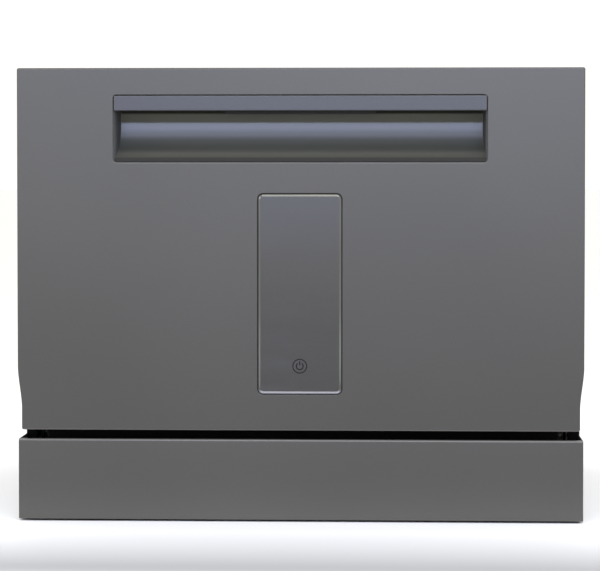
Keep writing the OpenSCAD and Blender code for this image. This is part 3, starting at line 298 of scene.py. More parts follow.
def place(outline, level, axis="y"):
    """An outline of (u, v) pairs set at a level of one axis: (x, z) for y, (y, z) for x, (x, y) for z."""
    u, v = outline.T
    w = np.full_like(u, level)
    return np.stack({"y": (u, w, v), "x": (w, u, v), "z": (u, v, w)}[axis], axis=-1)


def plate(outline, low, high, ease=0.4, axis="y"):
    """A flat plate whose edges are eased by quarter circles at both faces."""
    a = arc(0, 90, 4)
    inward, rise = ease * (1 - np.sin(a)), ease * (1 - np.cos(a))
    inward, rise = np.append(ease * 1.3, inward), np.append(0, rise)
    loops = [place(shift_in(outline, i), low + h, axis) for i, h in zip(inward, rise)]
    loops += [place(shift_in(outline, i), high - h, axis) for i, h in zip(inward[::-1], rise[::-1])]
    return loft(loops)


def flat_fill(outlines, level):
    """Triangles over an outline with holes in it, in an upright plane at a level of Y."""
    faces = tessellate_polygon([[Vector((*p, 0)) for p in outline.tolist()] for outline in outlines])
    return place(np.concatenate(outlines), level), [list(f) for f in faces]


def make_piece(name, body, slot, shells, finish=None, replaces=(), angle=32.0, face_out=True):
    """One piece from shells of (points in mm, faces), welded and put on its body.

    Its finish is its slot's unless another is given. Edges sharper than the angle, in degrees, are
    shaded hard. Its faces are turned outwards, unless they come from a CAD node and are right already.
    """
    points, faces, start = [], [], 0
    for verts, polygons in shells:
        points.append(np.asarray(verts))
        faces += [[start + k for k in polygon] for polygon in polygons]
        start += len(verts)
    mesh = bpy.data.meshes.new(name)
    mesh.from_pydata((np.concatenate(points) * MM).tolist(), [], faces)
    bm = bmesh.new()
    bm.from_mesh(mesh)
    bmesh.ops.remove_doubles(bm, verts=bm.verts, dist=WELD)
    bmesh.ops.dissolve_degenerate(bm, edges=bm.edges, dist=WELD / 2)
    if face_out:
        bmesh.ops.recalc_face_normals(bm, faces=bm.faces)
    bm.to_mesh(mesh)
    bm.free()
    obj = bpy.data.objects.new(name, mesh)
    bpy.context.scene.collection.objects.link(obj)
    mesh.shade_smooth()
    mesh.set_sharp_from_angle(angle=math.radians(angle))
    mesh.materials.append(FINISHES[slot] if finish is None else finish)
    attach(obj, body)
    if replaces:
        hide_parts(*replaces)
    return obj


def ease(obj, width):
    """Round a piece's sharp edges by a width in mm."""
    bevel = obj.modifiers.new("eased edges", "BEVEL")
    bevel.width = width * MM
    bevel.segments = 2
    bevel.limit_method = "ANGLE"
    bevel.angle_limit = math.radians(30)
    bevel.use_clamp_overlap = True
    bevel.harden_normals = True


def merged_copy(node, cuts=()):
    """A CAD node's points in mm and its faces, merged, with flat areas made one face where they can be.

    A cut is (axis, level in mm): it adds points where faces cross that plane.
    """
    bm = bmesh.new()
    bm.from_mesh(frame["nodes"][node].data)
    bmesh.ops.transform(bm, matrix=frame["nodes"][node].matrix_world, verts=bm.verts)
    bmesh.ops.remove_doubles(bm, verts=bm.verts, dist=WELD / 2)
    bmesh.ops.dissolve_limit(bm, angle_limit=math.radians(0.6), verts=bm.verts, edges=bm.edges)
    for axis, level in cuts:
        normal = np.eye(3)[axis]
        everything = bm.verts[:] + bm.edges[:] + bm.faces[:]
        bmesh.ops.bisect_plane(bm, geom=everything, plane_co=normal * level * MM, plane_no=normal)
    merged = bpy.data.meshes.new(node + "_merged")
    bm.to_mesh(merged)
    bm.free()
    points = np.empty(3 * len(merged.vertices))
    merged.vertices.foreach_get("co", points)
    faces = [list(face.vertices) for face in merged.polygons]
    bpy.data.meshes.remove(merged)
    return points.reshape(-1, 3) / MM, faces


def slot_of(node):
    """The material slot that the record gives a node."""
    return next(part["material_slot"] for part in frame["record"]["subparts"] if part["node"] == node)


def body_of(node):
    """The body that a node belongs to."""
    return next(body for body, nodes in frame["record"]["behaviour"]["bodies"].items() if node in nodes)


def dressed(node, name, shells, **options):
    """A piece that replaces one node and takes its body and slot from it."""
    return make_piece(name, body_of(node), slot_of(node), shells, replaces=(node,), **options)


def centre_of(node):
    """Middle of a node's box in millimetres."""
    lo, hi = node_box(node)
    return (lo + hi) / 2


def opening_of(box):
    """The (x, z) corners of a node's box."""
    return box[0][[0, 2]], box[1][[0, 2]]


# ---- Finishes ----


def linear(code):
    """An sRGB hex value as linear red, green and blue, and an alpha of 1."""
    s = np.array([int(code[k:k + 2], 16) for k in (1, 3, 5)]) / 255
    return (*np.where(s <= 0.04045, s / 12.92, ((s + 0.055) / 1.055) ** 2.4).tolist(), 1.0)


def add_node(tree, kind, values=None, links=None, **settings):
    """Add one shader node: settings are its attributes, values its sockets' own numbers, links what feeds them."""
    node = tree.nodes.new(kind)
    for key, value in settings.items():
        setattr(node, key, value)
    for key, value in (values or {}).items():
        node.inputs[key].default_value = value
    for key, source in (links or {}).items():
        tree.links.new(source, node.inputs[key])
    return node


def finish(name, colour, roughness, metallic=0.0, layers=(), **sockets):
    """A material from its base colour and a list of pattern layers on Object coordinates.

    A layer is a dict: kind (noise, cells or slope), size in mm (one number or x, y, z), span (the
    texture's values that count as none and full), tint (hex mixed in by share), rough (added to
    roughness) and bump (its height in mm). A noise has a detail and a slope an axis, along.
    """
    material = bpy.data.materials.new(name)
    material.use_nodes = True
    tree = material.node_tree
    shader = tree.nodes["Principled BSDF"]
    shader.inputs["Base Color"].default_value = linear(colour)
    shader.inputs["Roughness"].default_value = roughness
    shader.inputs["Metallic"].default_value = metallic
    for key, value in sockets.items():
        shader.inputs[key.replace("_", " ")].default_value = value
    if not layers:
        return material
    coordinates = add_node(tree, "ShaderNodeTexCoord")
    shade = rough = normal = None
    for layer in layers:
        size = np.broadcast_to(np.asarray(layer["size"], dtype=float), 3)
        mapping = add_node(tree, "ShaderNodeMapping", {"Scale": tuple(1000 / size)},
                           {"Vector": coordinates.outputs["Object"]})
        place_on = {"Vector": mapping.outputs["Vector"]}
        kind = layer.get("kind", "noise")
        if kind == "noise":
            texture = add_node(tree, "ShaderNodeTexNoise", {"Scale": 1.0, "Detail": layer.get("detail", 2.0)}, place_on)
            value = texture.outputs["Fac"]
        elif kind == "cells":
            texture = add_node(tree, "ShaderNodeTexVoronoi", {"Scale": 1.0}, place_on)
            value = texture.outputs["Distance"]
        else:
            value = add_node(tree, "ShaderNodeSeparateXYZ", links=place_on).outputs[layer["along"]]
        low, high = layer.get("span", (0.35, 0.65))
        ranged = add_node(tree, "ShaderNodeMapRange", {"From Min": low, "From Max": high}, {"Value": value})
        amount = ranged.outputs["Result"]
        if "tint" in layer:
            mixed = add_node(tree, "ShaderNodeMix", data_type="RGBA")
            share = add_node(tree, "ShaderNodeMath", {1: layer.get("share", 1.0)}, {0: amount}, operation="MULTIPLY")
            tree.links.new(share.outputs[0], mixed.inputs["Factor"])
            colours = [s for s in mixed.inputs if s.type == "RGBA"]
            colours[1].default_value = linear(layer["tint"])
            if shade is None:
                colours[0].default_value = linear(colour)
            else:
                tree.links.new(shade, colours[0])
            shade = [s for s in mixed.outputs if s.type == "RGBA"][0]
        if "rough" in layer:
            added = add_node(tree, "ShaderNodeMath", {1: layer["rough"], 2: roughness}, {0: amount},
                             operation="MULTIPLY_ADD")
            if rough is not None:
                tree.links.new(rough, added.inputs[2])
            rough = added.outputs[0]
        if "bump" in layer:
            bump = add_node(tree, "ShaderNodeBump", {"Distance": layer["bump"] * MM, "Strength": 1.0},
                            {"Height": amount})
            if normal is not None:
                tree.links.new(normal, bump.inputs["Normal"])
            normal = bump.outputs["Normal"]
    for source, socket in ((shade, "Base Color"), (rough, "Roughness"), (normal, "Normal")):
        if source is not None:
            tree.links.new(source, shader.inputs[socket])
    return material


def slope(start, end, tint, along="Z"):
    """A layer that tints from a start, where there is none of it, to an end, beyond which it is full, in mm."""
    return {"kind": "slope", "along": along, "size": 1.0, "span": (start, end), "tint": tint}


def flake(tint, share=0.30):
    """A layer of aluminium flake in a paint, in specks of 0.7 mm."""
    return {"size": 0.7, "detail": 1.0, "tint": tint, "share": share, "rough": 0.04}


def make_finishes(colours, drop):
    """Every finish, by the name of the record's slot or of the detail that it is for."""
    made = {}
    # Polyester powder coat with fine aluminium flake: a satin grey with a faint orange peel of
    # about 2 mm; the flakes, 0.05 mm in life, are drawn at 0.7 mm so that they show.
    paint = [
        flake("#5f5d58", 0.35),
        {"size": 240.0, "tint": "#4c4a46", "share": 0.30, "detail": 1.0},
        {"size": 2.2, "bump": 0.004, "detail": 1.0},
    ]
    made["painted_steel"] = finish("Powder coat, silver grey", colours.paint, 0.40, metallic=0.6, layers=paint)
    # Along the bend at the top of the plinth and at the foot of the door the coat is painted lighter: a painted
    # highlight, a thin light line on each edge.
    top, foot = PLINTH[1][2], DOOR[0][2]
    made["plinth_paint"] = finish(
        "Powder coat, plinth", colours.paint, 0.40, metallic=0.6,
        layers=paint + [slope(top - 1.6, top - 0.9, "#6c6a67")])
    made["door_paint"] = finish(
        "Powder coat, door", colours.paint, 0.40, metallic=0.6,
        layers=paint + [slope(foot + 1.6, foot + 0.8, "#6e6b67")])
    # Painted ABS moulding: the same colour on a smoother, slightly bluer and glossier skin.
    made["painted_moulding"] = finish(
        "Painted ABS, silver grey", colours.moulding, 0.36, metallic=0.6,
        layers=[
            flake("#58585a"),
            {"size": 6.0, "bump": 0.006, "detail": 1.0},
        ],
    )
    # A lighter copy of the same paint inside the scoop, with painted light and shade in bands by height: lighter
    # towards the foot in two steps, a painted shade along the sill, painted light in the shadowed upper back and a
    # painted shadow line just under the grip strip.
    sill = POCKET[0][2] - drop
    made["scoop"] = finish(
        "Painted ABS, silver grey, scoop, painted light and shade", "#5c5c5a", 0.41, metallic=0.6,
        layers=[
            flake("#626261"),
            # painted light: two lighter steps towards the foot
            slope(sill + 24.0, sill + 18.0, "#6c6d65"),
            slope(sill + 12.5, sill + 9.0, "#7c7c72"),
            # painted shade along the sill
            slope(sill + 8.0, sill + 3.0, "#1d1d1c"),
            # painted light in the shadowed upper back
            slope(sill + 36.0, sill + 42.0, "#65665e"),
            # painted shadow just under the grip strip
            slope(sill + 45.6, sill + 47.4, "#25261f"),
            {"size": 8.0, "bump": 0.004, "detail": 1.0},
        ],
    )
    # Its end walls: a darker, matt copy of the moulding with little flake; the darker colour is painted shade.
    made["scoop_end"] = finish(
        "Painted ABS, end wall, painted shade", "#454545", 0.55, metallic=0.2,
        layers=[{"size": 0.7, "detail": 1.0, "tint": "#4f4f4e", "share": 0.30}], Specular_IOR_Level=0.2,
    )
    # Zinc-plated sheet: spangle of about 9 mm and faint rolling lines.
    made["zinc_steel"] = finish(
        "Zinc-plated sheet", "#a9acb0", 0.38, metallic=1.0,
        layers=[
            {"kind": "cells", "size": 9.0, "span": (0.1, 0.9), "tint": "#94979c", "share": 0.6, "rough": 0.10},
            {"size": (0.6, 0.6, 40.0), "rough": 0.06, "bump": 0.002},
        ],
    )
    # Zinc on the hinges, darkened to near black as painted shade for the gap under the door: slightly iridescent and
    # dull.
    made["gap_shade_zinc"] = finish(
        "Zinc, darkened as painted gap shade", "#26272a", 0.45, metallic=0.9,
        layers=[{"size": 14.0, "tint": "#303036", "share": 0.7, "rough": 0.08}],
    )
    # Brushed stainless sheet: grain lines 0.5 mm apart that run across the machine.
    made["stainless"] = finish(
        "Brushed stainless steel", colours.stainless, 0.26, metallic=1.0,
        layers=[
            {"size": (90.0, 0.5, 0.5), "rough": 0.16, "tint": "#b2b3b5", "share": 0.5, "bump": 0.0015, "detail": 3.0},
            {"size": 160.0, "tint": "#cfd0d1", "share": 0.4},
        ],
    )
    # Drawn spring wire and bright screws: polished, with die lines along the wire.
    made["spring_steel"] = finish(
        "Drawn spring steel", "#b5b7ba", 0.22, metallic=1.0,
        layers=[{"size": (0.4, 6.0, 0.4), "rough": 0.14, "tint": "#8f9296", "share": 0.4}],
    )
    # Black glass-filled polypropylene: matt, with an eroded grain of 0.8 mm.
    made["black_plastic"] = finish(
        "Polypropylene, black", "#17181a", 0.52,
        layers=[
            {"size": 0.8, "bump": 0.02, "rough": 0.10},
            {"size": 45.0, "tint": "#1d1e20", "share": 0.7},
        ],
    )
    # The same in the base tray, made blacker and duller as painted shade, so the gap under the door reads black.
    made["tray_plastic"] = finish(
        "Polypropylene, black, painted gap shade", "#0f1011", 0.68,
        layers=[{"size": 0.9, "bump": 0.015}, {"size": 60.0, "tint": "#131415", "share": 0.7}],
        Specular_IOR_Level=0.15,
    )
    # Grey moulded polypropylene: slightly waxy, fine grain and faint flow marks.
    made["grey_plastic"] = finish(
        "Polypropylene, grey", "#8b9095", 0.42,
        layers=[
            {"size": 0.9, "bump": 0.010, "rough": 0.06},
            {"size": (60.0, 14.0, 30.0), "tint": "#949a9f", "share": 0.6},
        ],
    )
    # Off-white acetal and polypropylene: bright, satin, a little light comes through.
    made["white_plastic"] = finish(
        "Polypropylene, off-white", "#d9dbd9", 0.36,
        layers=[
            {"size": 1.2, "bump": 0.006, "rough": 0.05},
            {"size": 50.0, "tint": "#d0d3d2", "share": 0.6},
        ],
        Subsurface_Weight=0.06, Subsurface_Scale=0.004,
    )
    # Extruded EPDM: black, matt, with a dusty bloom in patches.
    made["seal_rubber"] = finish(
        "EPDM rubber, black", "#1d1e1f", 0.62,
        layers=[
            {"size": 18.0, "tint": "#2b2c2d", "share": 0.8, "rough": 0.08},
            {"size": 0.7, "bump": 0.015},
        ],
    )
    # Painted shade for the gap under the door: a sheet that is black all through and fully matt, with a bump of cells
    # of about 1 mm.
    made["foam"] = finish("Black matt sheet, painted gap shade", "#0a0a0b", 0.9, layers=[{"size": 1.0, "bump": 0.04}],
                          Specular_IOR_Level=0.1)
    # Tempered float glass, 4 mm, printed grey on its back: a mirror-smooth face over a satin ground,
    # with faint wiped streaks.
    made["control_glass"] = finish(
        "Back-printed tempered glass", colours.film, 0.42, metallic=0.5,
        layers=[
            {"size": 0.8, "tint": "#474642", "share": 0.4, "detail": 1.0},
            {"size": (70.0, 40.0, 16.0), "span": (0.5, 0.8), "tint": "#4a4a49", "share": 0.4, "rough": 0.04},
            # painted light: the print grows lighter and bluer towards its top
            slope(250.0, 330.0, "#4a4a4c"),
        ],
        Coat_Weight=0.7, Coat_Roughness=0.03, Coat_IOR=1.5,
    )
    # Polished slope of the glass, with painted highlights: bright and a little yellow, as on its top, and a brighter,
    # bluish painted highlight along its foot.
    made["bevel"] = finish(
        "Polished glass slope, painted highlights", "#5f5f58", 0.10, metallic=0.5,
        layers=[
            {"size": 40.0, "tint": "#565751", "share": 0.6, "detail": 1.0},
            slope(129.0, 126.0, "#a09fa3"),
        ],
        Coat_Weight=0.5, Coat_Roughness=0.03, Coat_IOR=1.5,
    )
    # Dark screen ink of the power sign.
    made["sign"] = finish("Screen ink, dark grey", colours.sign, 0.4,
                          layers=[{"size": 0.5, "tint": "#161615", "share": 0.5}], Specular_IOR_Level=0.1)
    # Solder mask over copper: green with lighter tracks in lines 1.6 mm apart.
    made["circuit_board"] = finish(
        "Solder mask, green", "#1f5a38", 0.30,
        layers=[
            {"kind": "cells", "size": (4.0, 4.0, 9.0), "span": (0.45, 0.5), "tint": "#3b8a55", "share": 0.7,
             "bump": 0.02},
            {"size": 30.0, "tint": "#1b4f31", "share": 0.5},
        ],
    )
    # Nylon-coated steel wire: a smooth pale grey coat, thicker in places after dipping.
    made["coated_wire"] = finish(
        "Nylon dip coat, pale grey", colours.wire, 0.28,
        layers=[{"size": 5.0, "bump": 0.03, "rough": 0.05}, {"size": 40.0, "tint": "#b8bec3", "share": 0.6}],
        Coat_Weight=0.25, Coat_Roughness=0.12,
    )
    return made


FINISHES = {}


# ---- Operators: one for each piece or group of like pieces ----


def stage_plane(name, lo, hi, level, material):
    """A level rectangle that belongs to the studio, from one corner to the other, in metres."""
    mesh = bpy.data.meshes.new(name)
    corners = [(lo[0], lo[1], level), (hi[0], lo[1], level), (hi[0], hi[1], level), (lo[0], hi[1], level)]
    mesh.from_pydata(corners, [], [(0, 1, 2, 3)])
    mesh.materials.append(material)
    plane = bpy.data.objects.new(name, mesh)
    bpy.context.scene.collection.objects.link(plane)
    return plane


def soft_light(name, at, aim, size, power, colour="#ffffff"):
    """A rectangular softbox of size (width, height) in metres that looks at a point."""
    data = bpy.data.lights.new(name, "AREA")
    data.shape = "RECTANGLE"
    data.size, data.size_y = size
    data.energy = power
    data.color = linear(colour)[:3]
    lamp = bpy.data.objects.new(name, data)
    lamp.location = at
    lamp.rotation_mode = "QUATERNION"
    lamp.rotation_quaternion = (Vector(aim) - Vector(at)).to_track_quat("-Z", "Y")
    bpy.context.scene.collection.objects.link(lamp)


class DISHWASHER_OT_studio(bpy.types.Operator):
    """Set up the floor, the soft lights and the camera"""

    bl_idname = "dishwasher.studio"
    bl_label = "Studio"

    def execute(self, context):
        scene = context.scene
        studio = scene.dishwasher_studio
        scene.view_settings.view_transform = "Standard"
        scene.view_settings.look = "None"
        # Matt white laminate: even and pale, with a very fine mottle, and a grey patch in front of the machine that is
        # painted shade, the light falling off towards the front.
        stage_plane("studio_floor", (-40, -40), (40, 40), 0, finish("White laminate", "#f7f7f7", 0.6, layers=[
            {"size": 3.0, "tint": "#f5f5f5", "share": 0.5},
            slope(-318.0, -520.0, "#b4b4b4", "Y"),
            slope(-535.0, -700.0, "#f7f7f7", "Y"),
            slope(345.0, 500.0, "#f7f7f7", "X"),
            slope(-345.0, -500.0, "#f7f7f7", "X"),
        ]))
        world = bpy.data.worlds.new("white surround")
        scene.world = world
        world.use_nodes = True
        background = world.node_tree.nodes["Background"]
        background.inputs["Color"].default_value = linear("#fffefb")
        background.inputs["Strength"].default_value = studio.ambient
        soft_light("overhead_softbox", (0.2, -1.5, 2.4), (0, -0.5, 0), (2.2, 1.2), studio.overhead)
        soft_light("strip_light", (0.1, -2.65, 1.05), (0, -0.25, 0.37), (1.9, 0.1), studio.strip, "#c6d4ff")
        soft_light("left_softbox", (-2.2, -1.2, 1.2), (0, 0, 0.2), (1.2, 1.6), studio.fill)
        soft_light("right_softbox", (2.2, -0.8, 1.2), (0, 0, 0.2), (1.2, 1.6), studio.fill)
        soft_light("back_softbox", (0, 2.6, 1.8), (0, 0, 0.2), (2.4, 1.4), studio.fill)
        # Warm grey card low in front: it shows only in reflections, and fades out away from the machine
        card = stage_plane("grey_card", (-0.9, -6), (0.9, -0.35), 0.004, finish(
            "Grey card", "#6a675c", 0.9, layers=[slope(-2000.0, -6000.0, "#f4f4f4", "Y")]))
        card.visible_camera = card.visible_diffuse = card.visible_shadow = False
        data = bpy.data.cameras.new("camera")
        camera = bpy.data.objects.new("camera", data)
        scene.collection.objects.link(camera)
        data.sensor_width = 36.0
        data.lens = studio.lens
        data.shift_y = studio.rise
        data.clip_start, data.clip_end = 0.05, 200
        camera.location = (studio.side, DOOR[0][1] * MM - studio.distance, studio.height)
        camera.rotation_euler = (math.pi / 2 - studio.tilt, 0, studio.turn)
        scene.camera = camera
        return {"FINISHED"}


class DISHWASHER_OT_finishes(bpy.types.Operator):
    """Make every finish and give each CAD node the one of its slot"""

    bl_idname = "dishwasher.finishes"
    bl_label = "Finishes"

    def execute(self, context):
        FINISHES.update(make_finishes(context.scene.dishwasher_colours, context.scene.dishwasher_front.drop))
        for part in frame["record"]["subparts"]:
            mesh = frame["nodes"][part["node"]].data
            mesh.materials.clear()
            mesh.materials.append(FINISHES[part["material_slot"]])
        return {"FINISHED"}


def door_half(z, front):
    """Half-width of the door at a height: a narrow foot, a step that is half straight and half a cosine,
    and full width above."""
    low, high = DOOR[0][2] + front.foot_low, DOOR[0][2] + front.foot_low + front.foot_run
    share = np.clip((z - low) / (high - low), 0, 1)
    rest = (1 - share + (1 + np.cos(math.pi * share)) / 2) / 2
    return DOOR[1][0] - front.reveal - (front.foot_step - front.reveal) * rest


def door_outline(front, slots):
    """The door's outline from the front, anticlockwise from the lower right: up, left, down, right."""
    r = 1.9
    low, high = DOOR[0][2], DOOR[1][2]
    rise = np.concatenate([[low + r], low + front.foot_low + np.linspace(0, front.foot_run, 15), [high - r]])
    rise = np.union1d(rise, np.linspace(low + r, HINGE[1], 9))
    right = np.stack([door_half(rise, front), rise], axis=-1)
    a = arc(15, 75, 4)
    top = np.stack([right[-1, 0] - r + r * np.cos(a), high - r + r * np.sin(a)], axis=-1)
    across = np.array([[right[-1, 0] - r, high]])
    foot = np.stack([right[0, 0] - r + r * np.cos(a), low + r - r * np.sin(a)], axis=-1)[::-1]
    marks = np.sort([x for s in slots for x in (s[0] - 0.01, s[0], s[1], s[1] + 0.01)] + [right[0, 0] - r])
    lower = np.stack([marks, np.full(len(marks), low)], axis=-1)
    half = np.concatenate([lower, foot, right, top, across])
    mirrored = half[::-1] * (-1, 1)
    return np.concatenate([half, mirrored])


class DISHWASHER_OT_door(bpy.types.Operator):
    """Door skin: a folded sheet with rolled edges and two drawn openings"""

    bl_idname = "dishwasher.door"
    bl_label = "Door skin"

    def execute(self, context):
        front = context.scene.dishwasher_front
        face, back = DOOR[0][1], DOOR[1][1]
        rolled = LINER[1][1] - HINGE[0] - 0.4
        slot = (259.5, 265.0)
        outline = door_outline(front, [slot])
        turn = arc(0, 90, 7)
        x, z = np.abs(outline[:, 0]), outline[:, 1]
        notch = (z <= DOOR[0][2] + 1e-6) & (x >= slot[0]) & (x <= slot[1])
        # The sides and the top reach back round the inner door; at the foot they follow a circle about the hinge
        rear = place(outline, back)
        rear[:, 1] += np.sqrt(np.clip(rolled**2 - np.clip(HINGE[1] - z, 0, rolled) ** 2, 0, None))
        rear[notch, 1] = back - 8.5
        rows = [rear]
        rows += [place(shift_in(outline, front.edge * (1 - math.cos(t))), face + front.edge * (1 - math.sin(t)))
                 for t in turn]
        rows.append(place(shift_in(outline, front.edge + 0.4), face))
        shells = [sheet(rows)]
        lo, hi = opening_of(POCKET)
        recess = lo + (front.narrow, -front.drop), hi - (front.narrow, 0)
        # Each opening: its corners, their radius, the gap round what it holds, its lip and the sill's extra lip
        openings = ((*recess, 3.0, 0.6, 0.6, 0.9), (*opening_of(GLASS), 5.0, 0.85, 0.35, 0.0))
        holes = []
        for lo, hi, r, gap, lip, sill in openings:
            inner = rounded_rect(lo - gap, hi + gap, r + gap, 9)
            outwards = unit(shift_in(inner, -0.01) - inner)
            # The lip is a quarter circle, with a larger radius along the sill
            lip = lip + sill * np.clip(-outwards[:, 1:], 0, 1) ** 2
            loops = [place(shift_in(inner, -lip - 0.3), face)]
            loops += [place(shift_in(inner, -lip * (1 - math.sin(t))), face) + lip * (0, 1 - math.cos(t), 0)
                      for t in turn]
            loops.append(place(inner, face + 3.4))
            shells.append(sheet(loops))
            holes.append(shift_in(inner, -lip - 0.3))
        shells.insert(1, flat_fill([shift_in(outline, front.edge + 0.4)] + holes, face))
        piece = dressed("door_panel", "door_skin", shells, finish=FINISHES["door_paint"], angle=40)
        wall = piece.modifiers.new("sheet", "SOLIDIFY")
        wall.thickness = front.sheet * MM
        wall.offset = -1
        wall.use_even_offset = False
        return {"FINISHED"}


class DISHWASHER_OT_liner(bpy.types.Operator):
    """Inner door: the pressed tray, drawn in to lie inside the skin"""

    bl_idname = "dishwasher.liner"
    bl_label = "Inner door"

    def execute(self, context):
        points, faces = merged_copy("door_liner")
        x, z = points[:, 0], points[:, 2]
        # The side flanges move in by 1.6 mm and the top one down by 1 mm, over a run of 12 mm each
        side_flange, top_flange, run = 252.0, 420.0, 12.0
        points[:, 0] = x - np.sign(x) * 1.6 * np.clip((np.abs(x) - side_flange) / run, 0, 1)
        points[:, 2] = z - np.clip((z - top_flange) / run, 0, 1)
        piece = dressed("door_liner", "inner_door", [(points, faces)], face_out=False)
        ease(piece, 0.3)
        return {"FINISHED"}


class DISHWASHER_OT_handle(bpy.types.Operator):
    """Handle: a scooped pocket and the grip strip across its top; the release paddle behind it is eased with the other
    mouldings
    """

    bl_idname = "dishwasher.handle"
    bl_label = "Handle"

    def execute(self, context):
        front = context.scene.dishwasher_front
        face, depth = DOOR[0][1], front.scoop_depth
        half, low, high = POCKET[1][0] - front.narrow, POCKET[0][2] - front.drop, POCKET[1][2]
        grip_low = high + 0.6 - front.grip
        # Section (depth, height): up a slope of 24 degrees from the sill, round a small arc into a back that
        # leans by 14 degrees, then by 5, then stands upright, and round another small arc into the roof
        roof, foot = high - 1.8, low + 0.3
        corners = [(1.2, foot, 0), (depth - 5.2, foot + 14.0, 0), (depth - 0.9, foot + 31.6, 0),
                   (depth, foot + 43.4, 0), (depth, roof, 0), (3.2, roof, 0)]
        section = bent_path(corners, [0, front.scoop, 50, 50, 5, 0], 12)[:, :2]
        # End walls draw in by 1 mm in 18; a fillet of 1 mm joins them to the scoop: along it the section
        # moves inwards by (1 - cos t) while it moves outwards by sin t
        ahead = unit(np.gradient(section, axis=0))
        inwards = np.stack([-ahead[:, 1], ahead[:, 0]], axis=-1)
        fillet = 1.0
        t = arc(0, 90, 6)
        wide = half - 0.1 - section[:, 0] / 18
        sides = wide[None] - fillet + fillet * np.sin(t)[:, None]
        moved = section[None] + fillet * (1 - np.cos(t))[:, None, None] * inwards[None]
        right = np.concatenate([sides[..., None], moved], axis=-1)
        rows = np.concatenate([right[::-1] * (-1, 1, 1), right])[::-1]
        rows = rows + (0, face, 0)
        shells = [sheet(rows, wrap_columns=False)]
        shells += [(wall, [list(range(len(section)))]) for wall in (rows[0], rows[-1])]
        piece = dressed("handle_housing", "handle_scoop", shells, finish=FINISHES["scoop"], angle=50)
        # The end walls take the darker copy: painted shade
        piece.data.materials.append(FINISHES["scoop_end"])
        normals = np.empty(3 * len(piece.data.polygons))
        piece.data.polygons.foreach_get("normal", normals)
        piece.data.polygons.foreach_set("material_index", (np.abs(normals[::3]) > 0.8).astype(np.int32))
        wall = piece.modifiers.new("wall", "SOLIDIFY")
        wall.thickness = 1.6 * MM
        wall.offset = 1
        strip = plate(rounded_rect((-half, grip_low), (half, high), 1.4), face + 0.02, face + 3.0, ease=0.7)
        make_piece("grip_strip", "door", "painted_moulding", [strip])
        return {"FINISHED"}


class DISHWASHER_OT_glass(bpy.types.Operator):
    """Control glass, printed on its back, with polished bevels, and its power sign"""

    bl_idname = "dishwasher.glass"
    bl_label = "Control glass"

    def execute(self, context):
        front = context.scene.dishwasher_front
        lo, hi = opening_of(GLASS)
        face, back = GLASS[0][1] + 0.05, GLASS[1][1]
        outline = rounded_rect(lo, hi, 5.0, 9)
        bevel = front.bevel
        pane = plate(shift_in(outline, bevel), face, back, ease=0.05)
        dressed("control_glass", "cover_glass", [pane], angle=20)
        # Section of the bevel: down the outer edge, across the back, up beside the pane and down the slope
        section = [(0.15, back), (0.0, back - 0.15), (0.0, face + bevel / 2 + 0.1), (0.1, face + bevel / 2),
                   (bevel - 0.12, face), (bevel - 0.02, face + 0.06), (bevel - 0.02, back)]
        rim = ring([place(shift_in(outline, inward), y) for inward, y in section])
        make_piece("glass_bevel", "door", "control_glass", [rim], FINISHES["bevel"], angle=15)
        # Black foam tape in the gap round the glass
        section = [(-0.05, face + 2.2), (-0.8, face + 2.2), (-0.8, back + 0.6), (-0.05, back + 0.6)]
        tape = ring([place(shift_in(outline, inward), y) for inward, y in section])
        make_piece("glass_tape", "door", "control_glass", [tape], FINISHES["seal_rubber"])
        # Power sign: an outer ring, an inner ring open at its top and a bar, 0.04 mm of ink
        at = np.array([0.0, 150.8])
        ink = face - 0.04

        def band(radius, width, start, stop):
            a = arc(start, stop, 49)
            out = np.stack([np.cos(a), np.sin(a)], axis=-1)
            edge = np.concatenate([at + (radius + width / 2) * out, (at + (radius - width / 2) * out)[::-1]])
            return loft([place(edge, ink), place(edge, face + 0.02)])

        a = full_turn(96)
        circle = np.stack([np.cos(a), np.sin(a)], axis=-1)
        section = ((7.1, face + 0.02), (6.15, face + 0.02), (6.15, ink), (7.1, ink))
        outer = ring([place(at + r * circle, y) for r, y in section])
        bar = plate(rounded_rect(at + (-0.55, 0.9), at + (0.55, 4.7), 0.3, 3), ink, face + 0.02, ease=0.01)
        make_piece("power_sign", "door", "control_glass", [outer, band(3.3, 1.05, 128, 412), bar], FINISHES["sign"])
        return {"FINISHED"}


# Width in mm to which each node's own sharp edges are rounded
EASED = {
    "rear_panel": 0.5, "plinth_panel": 0.9, "base_tray": 0.5, "handle_lever": 0.5,
    "dispenser_body": 0.5, "dispenser_lid": 0.5, "cutlery_basket": 0.6, "basket_base": 0.5, "basket_divider": 0.6,
    "hinge_arms": 0.3, "hinge_brackets": 0.3,
    "latch_striker": 0.25, "latch_case": 0.2, "rack_wheel_front_left": 0.5, "rack_wheel_front_right": 0.5,
    "rack_wheel_rear_left": 0.5, "rack_wheel_rear_right": 0.5, "filter_cup": 0.4, "filter_plate": 0.15,
}


# Nodes whose finish is not their slot's usual one: the tray's and the hinges' are darker copies, painted shade in the
# gap under the door, and the plinth's has a painted highlight along its top
OWN_FINISH = {"base_tray": "tray_plastic", "plinth_panel": "plinth_paint",
              "hinge_arms": "gap_shade_zinc", "hinge_brackets": "gap_shade_zinc"}


class DISHWASHER_OT_eased(bpy.types.Operator):
    """Mouldings and pressings: their own shapes with the sharp edges rounded"""

    bl_idname = "dishwasher.eased"
    bl_label = "Eased edges"

    def execute(self, context):
        for node, width in EASED.items():
            own = FINISHES[OWN_FINISH.get(node, slot_of(node))]
            ease(dressed(node, "eased_" + node, [merged_copy(node)], finish=own, angle=30, face_out=False), width)
        return {"FINISHED"}


